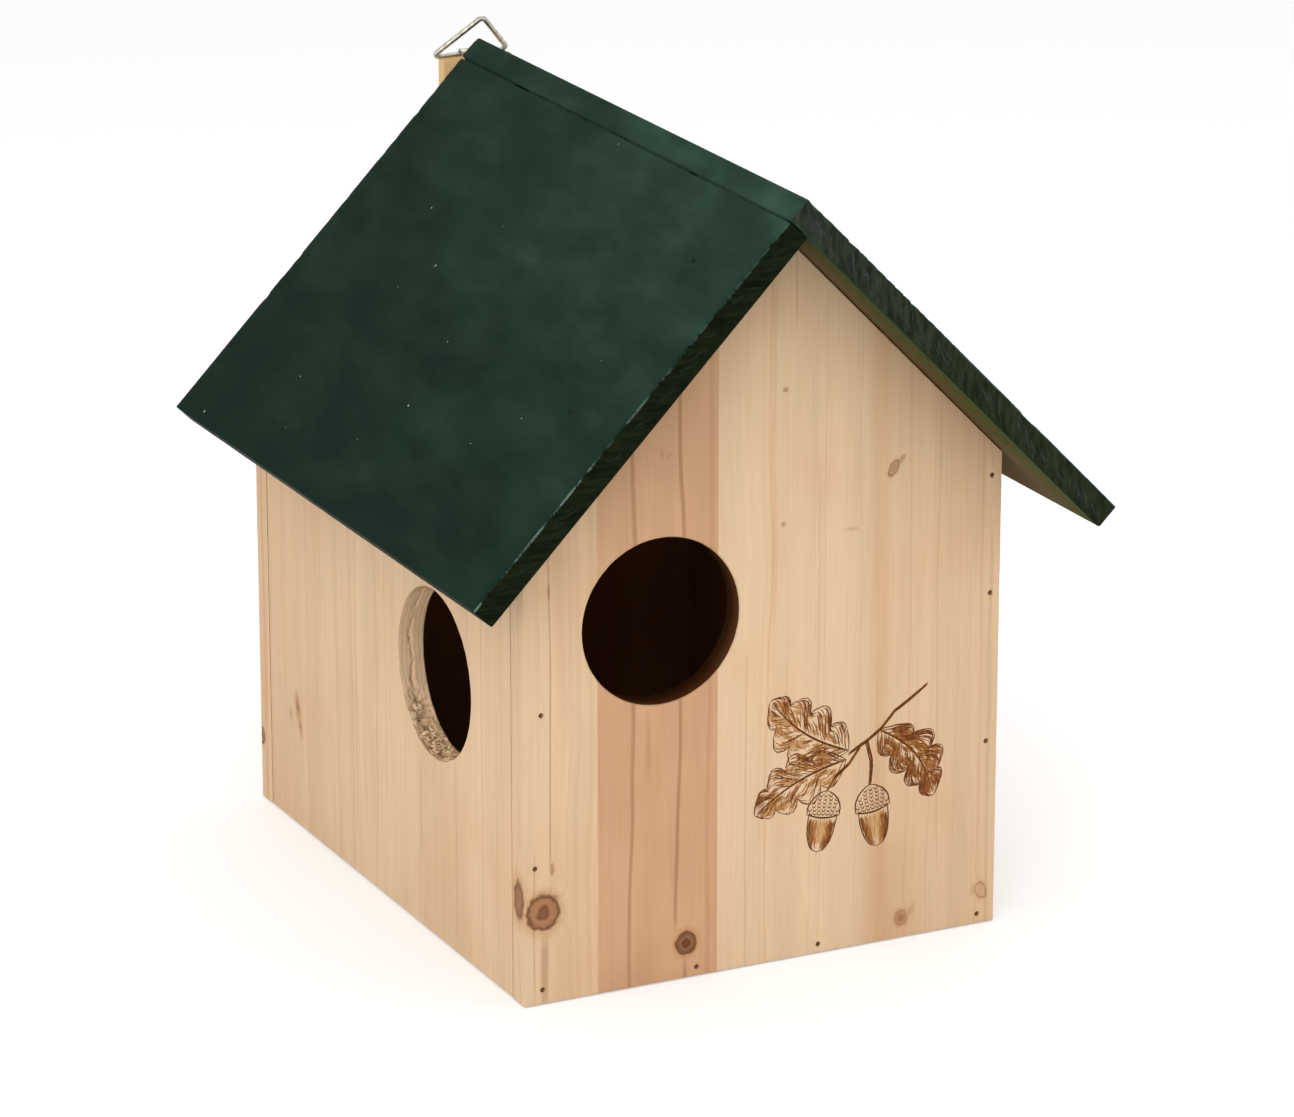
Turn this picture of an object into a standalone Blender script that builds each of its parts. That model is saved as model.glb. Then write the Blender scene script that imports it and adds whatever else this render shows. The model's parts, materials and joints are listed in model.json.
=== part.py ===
# Wooden squirrel house with a painted gable roof, a front and a side entrance
# and a wire hanger ring on a block at the back of the ridge.
#
# Metres, +Z up. The front looks along -Y and the ridge runs along Y. The origin
# is the middle of the floor board's underside.

import math

import bmesh
import bpy
from mathutils import Matrix, Vector

# Roof and body
roof_width = 0.245
roof_depth = 0.263
overall_height = 0.284
roof_pitch = math.radians(45.7)
left_run_share = 0.504
front_overhang = 0.029
roof_t = 0.0094
body_width = 0.185
wall_t = 0.010
floor_t = 0.009
joint_gap = 0.0003
edge_round = 0.0005
cut_overrun = 0.002

# Entrance holes, one in the front panel and one in the left side panel. Their
# middles are shares of the body's width or depth, and of the side wall's height.
front_hole_d = 0.060
front_hole_x_share = -0.217
front_hole_z_share = 0.757
side_hole_d = 0.062
side_hole_y_share = -0.185
side_hole_z_share = 0.5635

# Pin nails. A column place is a share of the wall's thickness in from the
# panel's edge, then a share of the side wall's height.
nail_d = 0.0013
nail_length = 0.022
nail_tip = 0.0018
nail_sink = 0.0002
left_column_shares = ((0.68, 0.030), (0.42, 0.287), (0.68, 0.603), (0.45, 0.930))
right_column_shares = ((0.68, 0.020), (0.44, 0.392), (0.38, 0.707), (0.38, 0.954))
floor_nail_x_shares = (-0.142, 0.117)
floor_nail_z_share = 0.36
slope_nail_shares = (0.28, 0.78)
ridge_nail_shares = (0.12, 0.50, 0.88)

# Hanging block on the back panel, and its two countersunk screws
block_width = 0.028
block_t = 0.005
block_height = 0.070
block_top_drop = 0.0082
block_screw_shares = (0.38, 0.80)
screw_d = 0.0028
screw_head_d = 0.0056
screw_bite_share = 0.85

# Folded steel strap that holds the ring, and its pan-head screw
strap_width = 0.008
strap_t = 0.0008
strap_length = 0.0105
strap_screw_share = 0.60
strap_screw_d = 0.0024
strap_head_d = 0.0046
strap_head_t = 0.0014

# Triangular wire ring, hinged on its base wire and leaning over the ridge
ring_wire_d = 0.0020
ring_base = 0.0316
ring_height = 0.0202
ring_bend_r = 0.0016
ring_lean = math.radians(36.0)
wire_end_gap = 0.0006

# Facets on round shapes
hole_sides = 64
round_sides = 16
nail_sides = 8
arc_steps = 10
bend_steps = 4

cos_p = math.cos(roof_pitch)
sin_p = math.sin(roof_pitch)
tan_p = math.tan(roof_pitch)
half_body = body_width / 2
body_depth = roof_depth - front_overhang
front_y = -body_depth / 2
back_y = body_depth / 2
roof_mid_y = back_y - roof_depth / 2
ridge = Vector((0, 0, overall_height))
under_apex_z = overall_height - roof_t / cos_p
seat_drop = joint_gap / cos_p
wall_height = under_apex_z - seat_drop - half_body * tan_p
inner_depth = body_depth - 2 * (wall_t + joint_gap)
inner_width = body_width - 2 * (wall_t + joint_gap)

eye_r = ring_wire_d / 2 + joint_gap
eye_outer_r = eye_r + strap_t
block_back_y = back_y + joint_gap + block_t
block_top_z = overall_height - block_top_drop
hinge = Vector((0, block_back_y + joint_gap + eye_outer_r, block_top_z))


def clear_scene():
    for old in list(bpy.data.objects):
        bpy.data.objects.remove(old, do_unlink=True)


def make_collection(name):
    collection = bpy.data.collections.new(name)
    bpy.context.scene.collection.children.link(collection)
    return collection


def make_material(name, color, roughness, metallic=0.0):
    material = bpy.data.materials.new(name)
    material.use_nodes = True
    shader = material.node_tree.nodes["Principled BSDF"]
    shader.inputs["Base Color"].default_value = (*color, 1.0)
    shader.inputs["Roughness"].default_value = roughness
    shader.inputs["Metallic"].default_value = metallic
    return material


clear_scene()
parts = make_collection("squirrel_house")
cutters = make_collection("cutters")

bare_fir = ("bare_fir", (0.66, 0.46, 0.29), 0.62, 0.0)
green_board = ("green_painted_fir", (0.016, 0.040, 0.026), 0.55, 0.0)
zinc_wire = ("zinc_plated_wire", (0.62, 0.61, 0.56), 0.32, 1.0)
dark_nail = ("steel_pin", (0.10, 0.08, 0.06), 0.45, 1.0)


def add_part(name, mesh, finish, location=(0, 0, 0), rotation=(0, 0, 0)):
    item = bpy.data.objects.new(name, mesh)
    item.location = location
    item.rotation_euler = rotation
    parts.objects.link(item)
    kind, color, roughness, metallic = finish
    mesh.materials.append(make_material(kind + "_" + name, color, roughness, metallic))
    return item


def mesh_from_bmesh(name, shape):
    bmesh.ops.recalc_face_normals(shape, faces=shape.faces)
    mesh = bpy.data.meshes.new(name)
    shape.to_mesh(mesh)
    shape.free()
    return mesh


def ease_edges(item):
    bevel = item.modifiers.new("eased_edges", "BEVEL")
    bevel.width = edge_round
    bevel.segments = 1
    bevel.limit_method = "ANGLE"


def box_mesh(name, size):
    shape = bmesh.new()
    bmesh.ops.create_cube(shape, size=1)
    bmesh.ops.scale(shape, vec=size, verts=shape.verts)
    return mesh_from_bmesh(name, shape)


def add_board(name, size, finish, location, rotation=(0, 0, 0)):
    item = add_part(name, box_mesh(name, size), finish, location, rotation)
    ease_edges(item)
    return item


def mesh_from_curve(name, curve):
    # A curve's caps are loose, so they are welded to its walls
    guide = bpy.data.objects.new(name + "_curve", curve)
    cutters.objects.link(guide)
    bpy.context.view_layer.update()
    depsgraph = bpy.context.evaluated_depsgraph_get()
    raw = bpy.data.meshes.new_from_object(guide.evaluated_get(depsgraph))
    bpy.data.objects.remove(guide, do_unlink=True)
    shape = bmesh.new()
    shape.from_mesh(raw)
    bpy.data.meshes.remove(raw)
    bmesh.ops.remove_doubles(shape, verts=shape.verts, dist=joint_gap / 100)
    return mesh_from_bmesh(name, shape)


def plate_mesh(name, outlines, thickness):
    curve = bpy.data.curves.new(name, "CURVE")
    curve.dimensions = "2D"
    curve.fill_mode = "BOTH"
    curve.extrude = thickness / 2
    for outline in outlines:
        spline = curve.splines.new("POLY")
        spline.points.add(len(outline) - 1)
        for point, (x, y) in zip(spline.points, outline):
            point.co = (x, y, 0, 1)
        spline.use_cyclic_u = True
    return mesh_from_curve(name, curve)


def turned_part(name, profile, finish, place, direction, sides):
    # The profile runs down the outer side, from the head on the axis to the tip
    mesh = bpy.data.meshes.new(name)
    points = [(radius, 0, height) for radius, height in profile]
    mesh.from_pydata(points, [(i, i + 1) for i in range(len(points) - 1)], [])
    item = add_part(name, mesh, finish, place)
    item.rotation_mode = "QUATERNION"
    item.rotation_quaternion = Vector(direction).to_track_quat("Z", "Y")
    screw = item.modifiers.new("turn", "SCREW")
    screw.steps = sides
    screw.render_steps = sides
    screw.use_merge_vertices = True
    screw.merge_threshold = joint_gap / 100
    screw.use_smooth_shade = True
    return item


def add_cutter(name, bores):
    # bores: (mouth, direction out of the hole, radius, depth, sides)
    shape = bmesh.new()
    for mouth, direction, radius, depth, sides in bores:
        length = depth + cut_overrun
        middle = Vector(mouth) + Vector(direction) * (cut_overrun - depth) / 2
        turn = Vector(direction).to_track_quat("Z", "Y").to_matrix().to_4x4()
        bmesh.ops.create_cone(
            shape, cap_ends=True, segments=sides, radius1=radius, radius2=radius,
            depth=length, matrix=Matrix.Translation(middle) @ turn)
    cutter = bpy.data.objects.new(name, mesh_from_bmesh(name, shape))
    cutter.hide_render = True
    cutter.display_type = "WIRE"
    cutters.objects.link(cutter)
    return cutter


def cut(item, bores):
    cutter = add_cutter(item.name + "_bores", bores)
    boolean = item.modifiers.new("bores", "BOOLEAN")
    boolean.operation = "DIFFERENCE"
    boolean.solver = "EXACT"
    boolean.object = cutter


def nail_bore(nail):
    place, direction = nail
    return (place, direction, nail_d / 2 + joint_gap, nail_length + joint_gap, nail_sides)


# Nail places. Each nail is its head's place on the surface and the way it faces.
def column_nails(face_y, facing):
    nails = {}
    columns = (("left", -1, left_column_shares), ("right", 1, right_column_shares))
    for side, sign, shares in columns:
        for number, (inset_share, height_share) in enumerate(shares, 1):
            x = sign * (half_body - inset_share * wall_t)
            place = Vector((x, face_y, height_share * wall_height))
            nails[f"{side}_nail_{number}"] = (place, Vector((0, facing, 0)))
    return nails


def floor_nails(face_y, facing):
    nails = {}
    for number, share in enumerate(floor_nail_x_shares, 1):
        place = Vector((share * body_width, face_y, floor_nail_z_share * floor_t))
        nails[f"floor_nail_{number}"] = (place, Vector((0, facing, 0)))
    return nails


def slope_frame(sign):
    # Down the slope, and square out of its upper face
    down = Vector((sign * cos_p, 0, -sin_p))
    out = Vector((sign * sin_p, 0, cos_p))
    return down, out


def slope_nails(sign, y):
    down, out = slope_frame(sign)
    nails = {}
    for number, share in enumerate(slope_nail_shares, 1):
        place = ridge + down * (share * half_body / cos_p) + Vector((0, y, 0))
        nails[f"nail_{number}"] = (place, out)
    return nails


def ridge_nails():
    down, out = slope_frame(1)
    nails = {}
    for number, share in enumerate(ridge_nail_shares, 1):
        y = roof_mid_y + (share - 1 / 2) * roof_depth
        nails[f"ridge_nail_{number}"] = (ridge + down * roof_t / 2 + Vector((0, y, 0)), out)
    return nails


front_columns = column_nails(front_y, -1)
back_columns = column_nails(back_y, 1)
front_floor = floor_nails(front_y, -1)
back_floor = floor_nails(back_y, 1)
gable_y = back_y - wall_t / 2
front_left_slope = slope_nails(-1, -gable_y)
front_right_slope = slope_nails(1, -gable_y)
back_left_slope = slope_nails(-1, gable_y)
back_right_slope = slope_nails(1, gable_y)
ridge_row = ridge_nails()


def bores_of(*groups):
    return [nail_bore(nail) for group in groups for nail in group.values()]


def only(group, word):
    return {name: nail for name, nail in group.items() if word in name}


# Front and back panels: full-width gable boards that cover the side panels' ends
gable_outline = [
    (-half_body, 0),
    (half_body, 0),
    (half_body, wall_height),
    (0, wall_height + half_body * tan_p),
    (-half_body, wall_height),
]
upright = (math.pi / 2, 0, 0)


def add_gable(name, y):
    mesh = plate_mesh(name, [gable_outline], wall_t)
    item = add_part(name, mesh, bare_fir, (0, y, 0), upright)
    ease_edges(item)
    return item


front_panel = add_gable("front_panel", front_y + wall_t / 2)
front_entrance = (
    (front_hole_x_share * body_width, front_y, front_hole_z_share * wall_height), (0, -1, 0),
    front_hole_d / 2, wall_t + cut_overrun, hole_sides)
cut(front_panel, [front_entrance] + bores_of(
    front_columns, front_floor, front_left_slope, front_right_slope))

block_screws = {}
for word, share in zip(("upper", "lower"), block_screw_shares):
    spot = Vector((0, block_back_y, block_top_z - share * block_height))
    block_screws[f"block_screw_{word}"] = spot
screw_length = block_t + joint_gap + screw_bite_share * wall_t
screw_cone = (screw_head_d - screw_d) / 2
screw_bores = [
    (spot, (0, 1, 0), screw_d / 2 + joint_gap, screw_length + joint_gap, round_sides)
    for spot in block_screws.values()]

back_panel = add_gable("back_panel", back_y - wall_t / 2)
cut(back_panel, screw_bores + bores_of(
    back_columns, back_floor, back_left_slope, back_right_slope))

# Side panels between them, square-topped, their outer top edge under the roof
side_size = (wall_t, inner_depth, wall_height)
side_entrance = (
    (-half_body, side_hole_y_share * body_depth, side_hole_z_share * wall_height), (-1, 0, 0),
    side_hole_d / 2, wall_t + cut_overrun, hole_sides)
for side, sign in (("left", -1), ("right", 1)):
    panel = add_board(
        f"{side}_side_panel", side_size, bare_fir,
        (sign * (half_body - wall_t / 2), 0, wall_height / 2))
    bores = bores_of(only(front_columns, side), only(back_columns, side))
    if side == "left":
        bores.append(side_entrance)
    cut(panel, bores)

# Floor board, flush with the walls' lower edges
floor_board = add_board(
    "floor_board", (inner_width, inner_depth, floor_t), bare_fir, (0, 0, floor_t / 2))
cut(floor_board, bores_of(front_floor, back_floor))

# Roof boards. The right one runs up to the ridge and laps the left one's end.
left_slope = left_run_share * roof_width / cos_p
right_slope = (1 - left_run_share) * roof_width / cos_p
end_skew = max(0, -roof_t * math.cos(2 * roof_pitch))
lap = (roof_t + joint_gap + end_skew) / math.sin(2 * roof_pitch)


def add_roof_board(name, sign, start, end):
    down, out = slope_frame(sign)
    middle = ridge + down * (start + end) / 2 - out * roof_t / 2
    size = (end - start, roof_depth, roof_t)
    return add_board(
        name, size, green_board, (middle.x, roof_mid_y, middle.z), (0, sign * roof_pitch, 0))


right_roof_board = add_roof_board("right_roof_board", 1, 0, right_slope)
left_roof_board = add_roof_board("left_roof_board", -1, lap, left_slope)
cut(right_roof_board, bores_of(front_right_slope, back_right_slope, ridge_row))
cut(left_roof_board, bores_of(front_left_slope, back_left_slope, ridge_row))

# Pin nails, all alike
nail_profile = [
    (0, -nail_sink),
    (nail_d / 2, -nail_sink),
    (nail_d / 2, nail_tip - nail_length),
    (0, -nail_length),
]
nail_groups = (
    ("front_", front_columns),
    ("front_", front_floor),
    ("back_", back_columns),
    ("back_", back_floor),
    ("roof_front_left_", front_left_slope),
    ("roof_front_right_", front_right_slope),
    ("roof_back_left_", back_left_slope),
    ("roof_back_right_", back_right_slope),
    ("", ridge_row),
)
for prefix, group in nail_groups:
    for name, (place, direction) in group.items():
        turned_part(prefix + name, nail_profile, dark_nail, place, direction, nail_sides)

# Hanging block, screwed to the back panel, its top standing behind the ridge
strap_screw_place = Vector((
    0, hinge.y - eye_outer_r + 2 * strap_t, hinge.z - strap_screw_share * strap_length))
strap_screw_length = 2 * strap_t + joint_gap + screw_bite_share * block_t
strap_bore = (
    strap_screw_place, (0, 1, 0), strap_screw_d / 2 + joint_gap,
    strap_screw_length + joint_gap, round_sides)

hanging_block = add_board(
    "hanging_block", (block_width, block_t, block_height), bare_fir,
    (0, back_y + joint_gap + block_t / 2, block_top_z - block_height / 2))
head_bores = [
    (spot, (0, 1, 0), screw_head_d / 2 + joint_gap, screw_cone + joint_gap, round_sides)
    for spot in block_screws.values()]
cut(hanging_block, [strap_bore])
for step, bores in (("screw_shanks", screw_bores), ("screw_heads", head_bores)):
    pocket = hanging_block.modifiers.new(step, "BOOLEAN")
    pocket.operation = "DIFFERENCE"
    pocket.solver = "EXACT"
    pocket.object = add_cutter("hanging_block_" + step, bores)

screw_profile = [
    (0, 0),
    (screw_head_d / 2, 0),
    (screw_d / 2, -screw_cone),
    (screw_d / 2, screw_d / 2 - screw_length),
    (0, -screw_length),
]
for name, spot in block_screws.items():
    turned_part(name, screw_profile, zinc_wire, spot, (0, 1, 0), round_sides)

# Hanger strap: a strip folded round the ring's base wire, both leaves on the block.
# Its outline is drawn with +x away from the block and +y up, from the wire's centre.
leaf_back_x = 2 * strap_t - eye_outer_r
arc_end = -math.acos(leaf_back_x / eye_outer_r)
strap_outline = [(-eye_outer_r, -strap_length)]
for step in range(2 * arc_steps + 1):
    angle = math.pi + (arc_end - math.pi) * step / (2 * arc_steps)
    strap_outline.append((eye_outer_r * math.cos(angle), eye_outer_r * math.sin(angle)))
strap_outline.append((leaf_back_x, -strap_length))
eye_outline = []
for step in range(2 * arc_steps):
    angle = math.pi * step / arc_steps
    eye_outline.append((eye_r * math.cos(angle), eye_r * math.sin(angle)))

strap_turn = Matrix(((0, 0, 1), (1, 0, 0), (0, 1, 0))).to_euler()
hanger_strap = add_part(
    "hanger_strap", plate_mesh("hanger_strap", [strap_outline, eye_outline], strap_width),
    zinc_wire, hinge, strap_turn)
cut(hanger_strap, [strap_bore])

strap_screw_profile = [
    (0, strap_head_t + joint_gap),
    (strap_head_d / 4, strap_head_t + joint_gap),
    (strap_head_d / 2, strap_head_t / 2 + joint_gap),
    (strap_head_d / 2, joint_gap),
    (strap_screw_d / 2, joint_gap),
    (strap_screw_d / 2, strap_screw_d / 2 - strap_screw_length),
    (0, -strap_screw_length),
]
turned_part(
    "strap_screw", strap_screw_profile, zinc_wire, strap_screw_place, (0, 1, 0), round_sides)


# Hanger ring: one bent wire, its ends meeting inside the strap's eye
def fillet(corner, before, after):
    # Points of an arc of ring_bend_r that rounds the corner between its neighbours
    corner, before, after = Vector(corner), Vector(before), Vector(after)
    first = (before - corner).normalized()
    second = (after - corner).normalized()
    half = first.angle(second) / 2
    centre = corner + (first + second).normalized() * ring_bend_r / math.sin(half)
    start = corner + first * ring_bend_r / math.tan(half) - centre
    end = corner + second * ring_bend_r / math.tan(half) - centre
    points = []
    for step in range(bend_steps + 1):
        out = start.slerp(end, step / bend_steps).normalized()
        points.append(centre + out * ring_bend_r)
    return points


base_left = (-ring_base / 2, 0, 0)
base_right = (ring_base / 2, 0, 0)
apex = (0, 0, ring_height)
ring_path = [Vector((wire_end_gap / 2, 0, 0))]
ring_path += fillet(base_right, base_left, apex)
ring_path += fillet(apex, base_right, base_left)
ring_path += fillet(base_left, apex, base_right)
ring_path.append(Vector((-wire_end_gap / 2, 0, 0)))

ring_curve = bpy.data.curves.new("hanger_ring", "CURVE")
ring_curve.dimensions = "3D"
ring_curve.bevel_depth = ring_wire_d / 2
ring_curve.bevel_resolution = 2
ring_curve.use_fill_caps = True
ring_spline = ring_curve.splines.new("POLY")
ring_spline.points.add(len(ring_path) - 1)
for point, place in zip(ring_spline.points, ring_path):
    point.co = (*place, 1)
ring_mesh = mesh_from_curve("hanger_ring", ring_curve)
ring_mesh.shade_smooth()
ring_mesh.set_sharp_from_angle(angle=math.radians(40))
hanger_ring = add_part("hanger_ring", ring_mesh, zinc_wire, hinge, (ring_lean, 0, 0))
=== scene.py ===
# Squirrel house: bare fir walls, two green painted roof boards, two round entrances,
# pin nails and a bent wire ring to hang it by.
# Everything is in metres, in the frame of the CAD. Material patterns are in millimetres.

import json
import random
from math import acos, atan2, cos, degrees, exp, hypot, pi, radians, sin, sqrt

import bmesh
import bpy
from mathutils import Matrix, Vector
from mathutils.noise import noise, voronoi

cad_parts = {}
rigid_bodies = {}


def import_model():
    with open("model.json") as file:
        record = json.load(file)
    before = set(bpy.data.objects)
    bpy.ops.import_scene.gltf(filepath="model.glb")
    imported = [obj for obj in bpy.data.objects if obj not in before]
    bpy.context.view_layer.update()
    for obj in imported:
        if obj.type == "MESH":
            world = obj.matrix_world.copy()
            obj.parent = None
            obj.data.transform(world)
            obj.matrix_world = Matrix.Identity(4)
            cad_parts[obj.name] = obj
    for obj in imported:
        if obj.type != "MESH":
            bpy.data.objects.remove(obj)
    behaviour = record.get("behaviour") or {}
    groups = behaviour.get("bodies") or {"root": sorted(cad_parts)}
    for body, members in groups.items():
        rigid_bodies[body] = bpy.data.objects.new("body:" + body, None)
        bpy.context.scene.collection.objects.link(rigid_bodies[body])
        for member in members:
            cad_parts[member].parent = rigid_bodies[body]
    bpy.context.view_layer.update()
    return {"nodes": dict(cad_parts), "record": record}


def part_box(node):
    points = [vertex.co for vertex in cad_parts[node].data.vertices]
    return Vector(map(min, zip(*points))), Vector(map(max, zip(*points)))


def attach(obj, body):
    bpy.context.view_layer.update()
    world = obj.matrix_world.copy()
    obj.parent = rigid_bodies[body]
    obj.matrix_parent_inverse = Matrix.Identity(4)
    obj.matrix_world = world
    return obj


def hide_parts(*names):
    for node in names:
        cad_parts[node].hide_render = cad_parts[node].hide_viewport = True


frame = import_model()
mm = 0.001

# Sizes that several pieces share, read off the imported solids
frontLow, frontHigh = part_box("front_panel")
sideLow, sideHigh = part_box("left_side_panel")
roofLow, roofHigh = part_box("left_roof_board")
blockLow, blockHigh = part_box("hanging_block")
strapLow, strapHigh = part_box("hanger_strap")
halfBody = frontHigh.x
frontY = frontLow.y
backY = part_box("back_panel")[1].y
wallThick = frontHigh.y - frontLow.y
wallHeight = sideHigh.z
apexZ = frontHigh.z
pitch = atan2(apexZ - wallHeight, halfBody)
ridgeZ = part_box("right_roof_board")[1].z
boardThick = 9.4 * mm
roofFrontY = roofLow.y
roofBackY = roofHigh.y
ringJoint = next(j for j in frame["record"]["behaviour"]["joints"] if j["name"] == "ring_swing")
hingeAt = Vector(ringJoint["pos_m"])


# Plain helpers
def colour(hexText):
    # sRGB hex to linear RGBA
    parts = [int(hexText[i:i + 2], 16) / 255 for i in (1, 3, 5)]
    return tuple(c / 12.92 if c <= 0.04045 else ((c + 0.055) / 1.055) ** 2.4 for c in parts) + (1.0,)


def nodeAdder(tree):
    def add(kind, *values, stops=(), **settings):
        # A node of a kind, such as "Math ADD", whose shown sockets get the values in order and those that
        # a last dictionary names. A value is a number, a hex colour, a socket or a node (its first output).
        kind, _, mode = kind.partition(" ")
        prefix = "" if kind.startswith(("Geometry", "Function", "NodeGroup")) else "ShaderNode"
        node = tree.nodes.new(prefix + kind)
        if mode:
            modeKeys = ("operation", "interpolation_type", "data_type")
            settings[next(key for key in modeKeys if hasattr(node, key))] = mode
        for key, value in settings.items():
            setattr(node, key, value)
        for place, (spot, shade) in enumerate(stops):
            ramp = node.color_ramp.elements
            stop = ramp[place] if place < len(ramp) else ramp.new(spot)
            stop.position = spot
            stop.color = colour(shade) if isinstance(shade, str) else (shade, shade, shade, 1.0)
        shown = [s for s in node.inputs if s.enabled]
        pairs = [pair for pair in zip(shown, values) if not isinstance(pair[1], dict)]
        if values and isinstance(values[-1], dict):
            pairs += [(node.inputs[name], value) for name, value in values[-1].items()]
        for socket, value in pairs:
            if isinstance(value, bpy.types.Node):
                value = next(s for s in value.outputs if s.enabled)
            if isinstance(value, bpy.types.NodeSocket):
                tree.links.new(value, socket)
            else:
                socket.default_value = colour(value) if str(value).startswith("#") else value
        return node
    return add


def newMaterial(name):
    material = bpy.data.materials.new(name)
    material.use_nodes = True
    material.node_tree.nodes.clear()
    return material, nodeAdder(material.node_tree)


def addObject(name, data):
    made = bpy.data.objects.new(name, data)
    bpy.context.scene.collection.objects.link(made)
    return made


def addPiece(name, mesh, materials, replaced=(), slotRule=None, body="house"):
    # slotRule gives a face's material slot from its middle and normal
    piece = addObject(name, mesh)
    mesh.materials.clear()
    for material in materials:
        mesh.materials.append(material)
    if slotRule:
        for face in mesh.polygons:
            face.material_index = slotRule(face.center, face.normal)
    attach(piece, body)
    if replaced:
        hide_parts(*replaced)


def plainMesh(name, shape):
    bmesh.ops.recalc_face_normals(shape, faces=shape.faces)
    mesh = bpy.data.meshes.new(name)
    shape.to_mesh(mesh)
    shape.free()
    return mesh


def smooth(mesh, angle):
    mesh.shade_smooth()
    mesh.set_sharp_from_angle(angle=radians(angle))
    return mesh


def wall(shape, rings):
    # Joins closed rings of the same count
    for upper, lower in zip(rings, rings[1:]):
        for i in range(len(upper)):
            j = (i + 1) % len(upper)
            corners = [upper[i], upper[j], lower[j], lower[i]]
            shape.faces.new([c for n, c in enumerate(corners) if c not in corners[:n]])


def store(mesh, label, kind, values):
    stored = mesh.attributes.new(label, kind, "POINT")
    for item, value in zip(stored.data, values):
        setattr(item, "value" if kind == "FLOAT" else "vector", value)


def evaluated(name, mesh, setUp):
    # The mesh after the modifiers that setUp adds to a carrier object
    carrier = addObject(name + "Carrier", mesh)
    setUp(carrier)
    bpy.context.view_layer.update()
    done = carrier.evaluated_get(bpy.context.evaluated_depsgraph_get())
    result = bpy.data.meshes.new_from_object(done)
    carrier.modifiers.clear()
    bpy.data.objects.remove(carrier, do_unlink=True)
    result.name = name
    return result


def newTree(name, inputs):
    # A geometry tree with one geometry in and out, named inputs with their defaults, and a finish
    tree = bpy.data.node_groups.new(name, "GeometryNodeTree")
    tree.interface.new_socket("Geometry", in_out="INPUT", socket_type="NodeSocketGeometry")
    tree.interface.new_socket("Geometry", in_out="OUTPUT", socket_type="NodeSocketGeometry")
    for label, kind, value in inputs + [("Finish", "Material", None)]:
        socket = tree.interface.new_socket(label, in_out="INPUT", socket_type="NodeSocket" + kind)
        if value is not None:
            socket.default_value = value
    return tree, nodeAdder(tree), tree.nodes.new("NodeGroupInput").outputs


def endTree(add, geometry, finish):
    # Makes the geometry real and gives it the finish
    real = add("GeometryNodeRealizeInstances", geometry)
    add("NodeGroupOutput", add("GeometryNodeSetMaterial", real, {"Material": finish}))


def grow(name, tree, mesh, values):
    # Runs a geometry tree on a mesh, its inputs set by identifier, and returns a plain mesh
    def setUp(carrier):
        modifier = carrier.modifiers.new(tree.name, "NODES")
        modifier.node_group = tree
        for item in tree.interface.items_tree:
            if item.item_type == "SOCKET" and item.in_out == "INPUT" and item.name in values:
                modifier[item.identifier] = values[item.name]
    return evaluated(name, mesh, setUp)


def lathe(name, profile, sides):
    # Turns (radius, height) pairs in mm round Z; the first and last lie on the axis
    shape = bmesh.new()
    rings = []
    for radius, height in profile:
        turns = [2 * pi * i / sides for i in range(sides if radius else 1)]
        ring = [shape.verts.new((radius * mm * cos(turn), radius * mm * sin(turn), height * mm))
                for turn in turns]
        rings.append(ring if radius else ring * sides)
    wall(shape, rings)
    return plainMesh(name, shape)


# Bare fir: softwood planed with the grain, so pale and matte, with faint growth rings,
# fine fibre streaks and tight brown knots. Three attributes carry the pattern: "board" is the
# place on the board (across, along, depth), "grain" the place about the stave's pith
# (across, depth, along), and "stave" its tone, a seed and 1 on end grain.
firLook = {
    "earlywood": "#e5c6a1",
    "latewood": "#c99a6c",
    "pinkTone": "#cfa27c",
    "blush": "#dfb48c",
    "knotHeart": "#ba8860",
    "knotPith": "#5e3021",
    "knotRing": "#5c3219",
    "knotGlow": "#bb8450",
    "endGrain": "#c79f72",
    "resin": "#8d5c38",
    "ringWidth": 3.2,      # mm between growth rings
    "fibreAcross": 0.45,   # mm, drawn coarser than real tracheids so that it shows
    "fibreAlong": 26,
    "wander": 2.4,         # mm that rings stray along a stave
}


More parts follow.
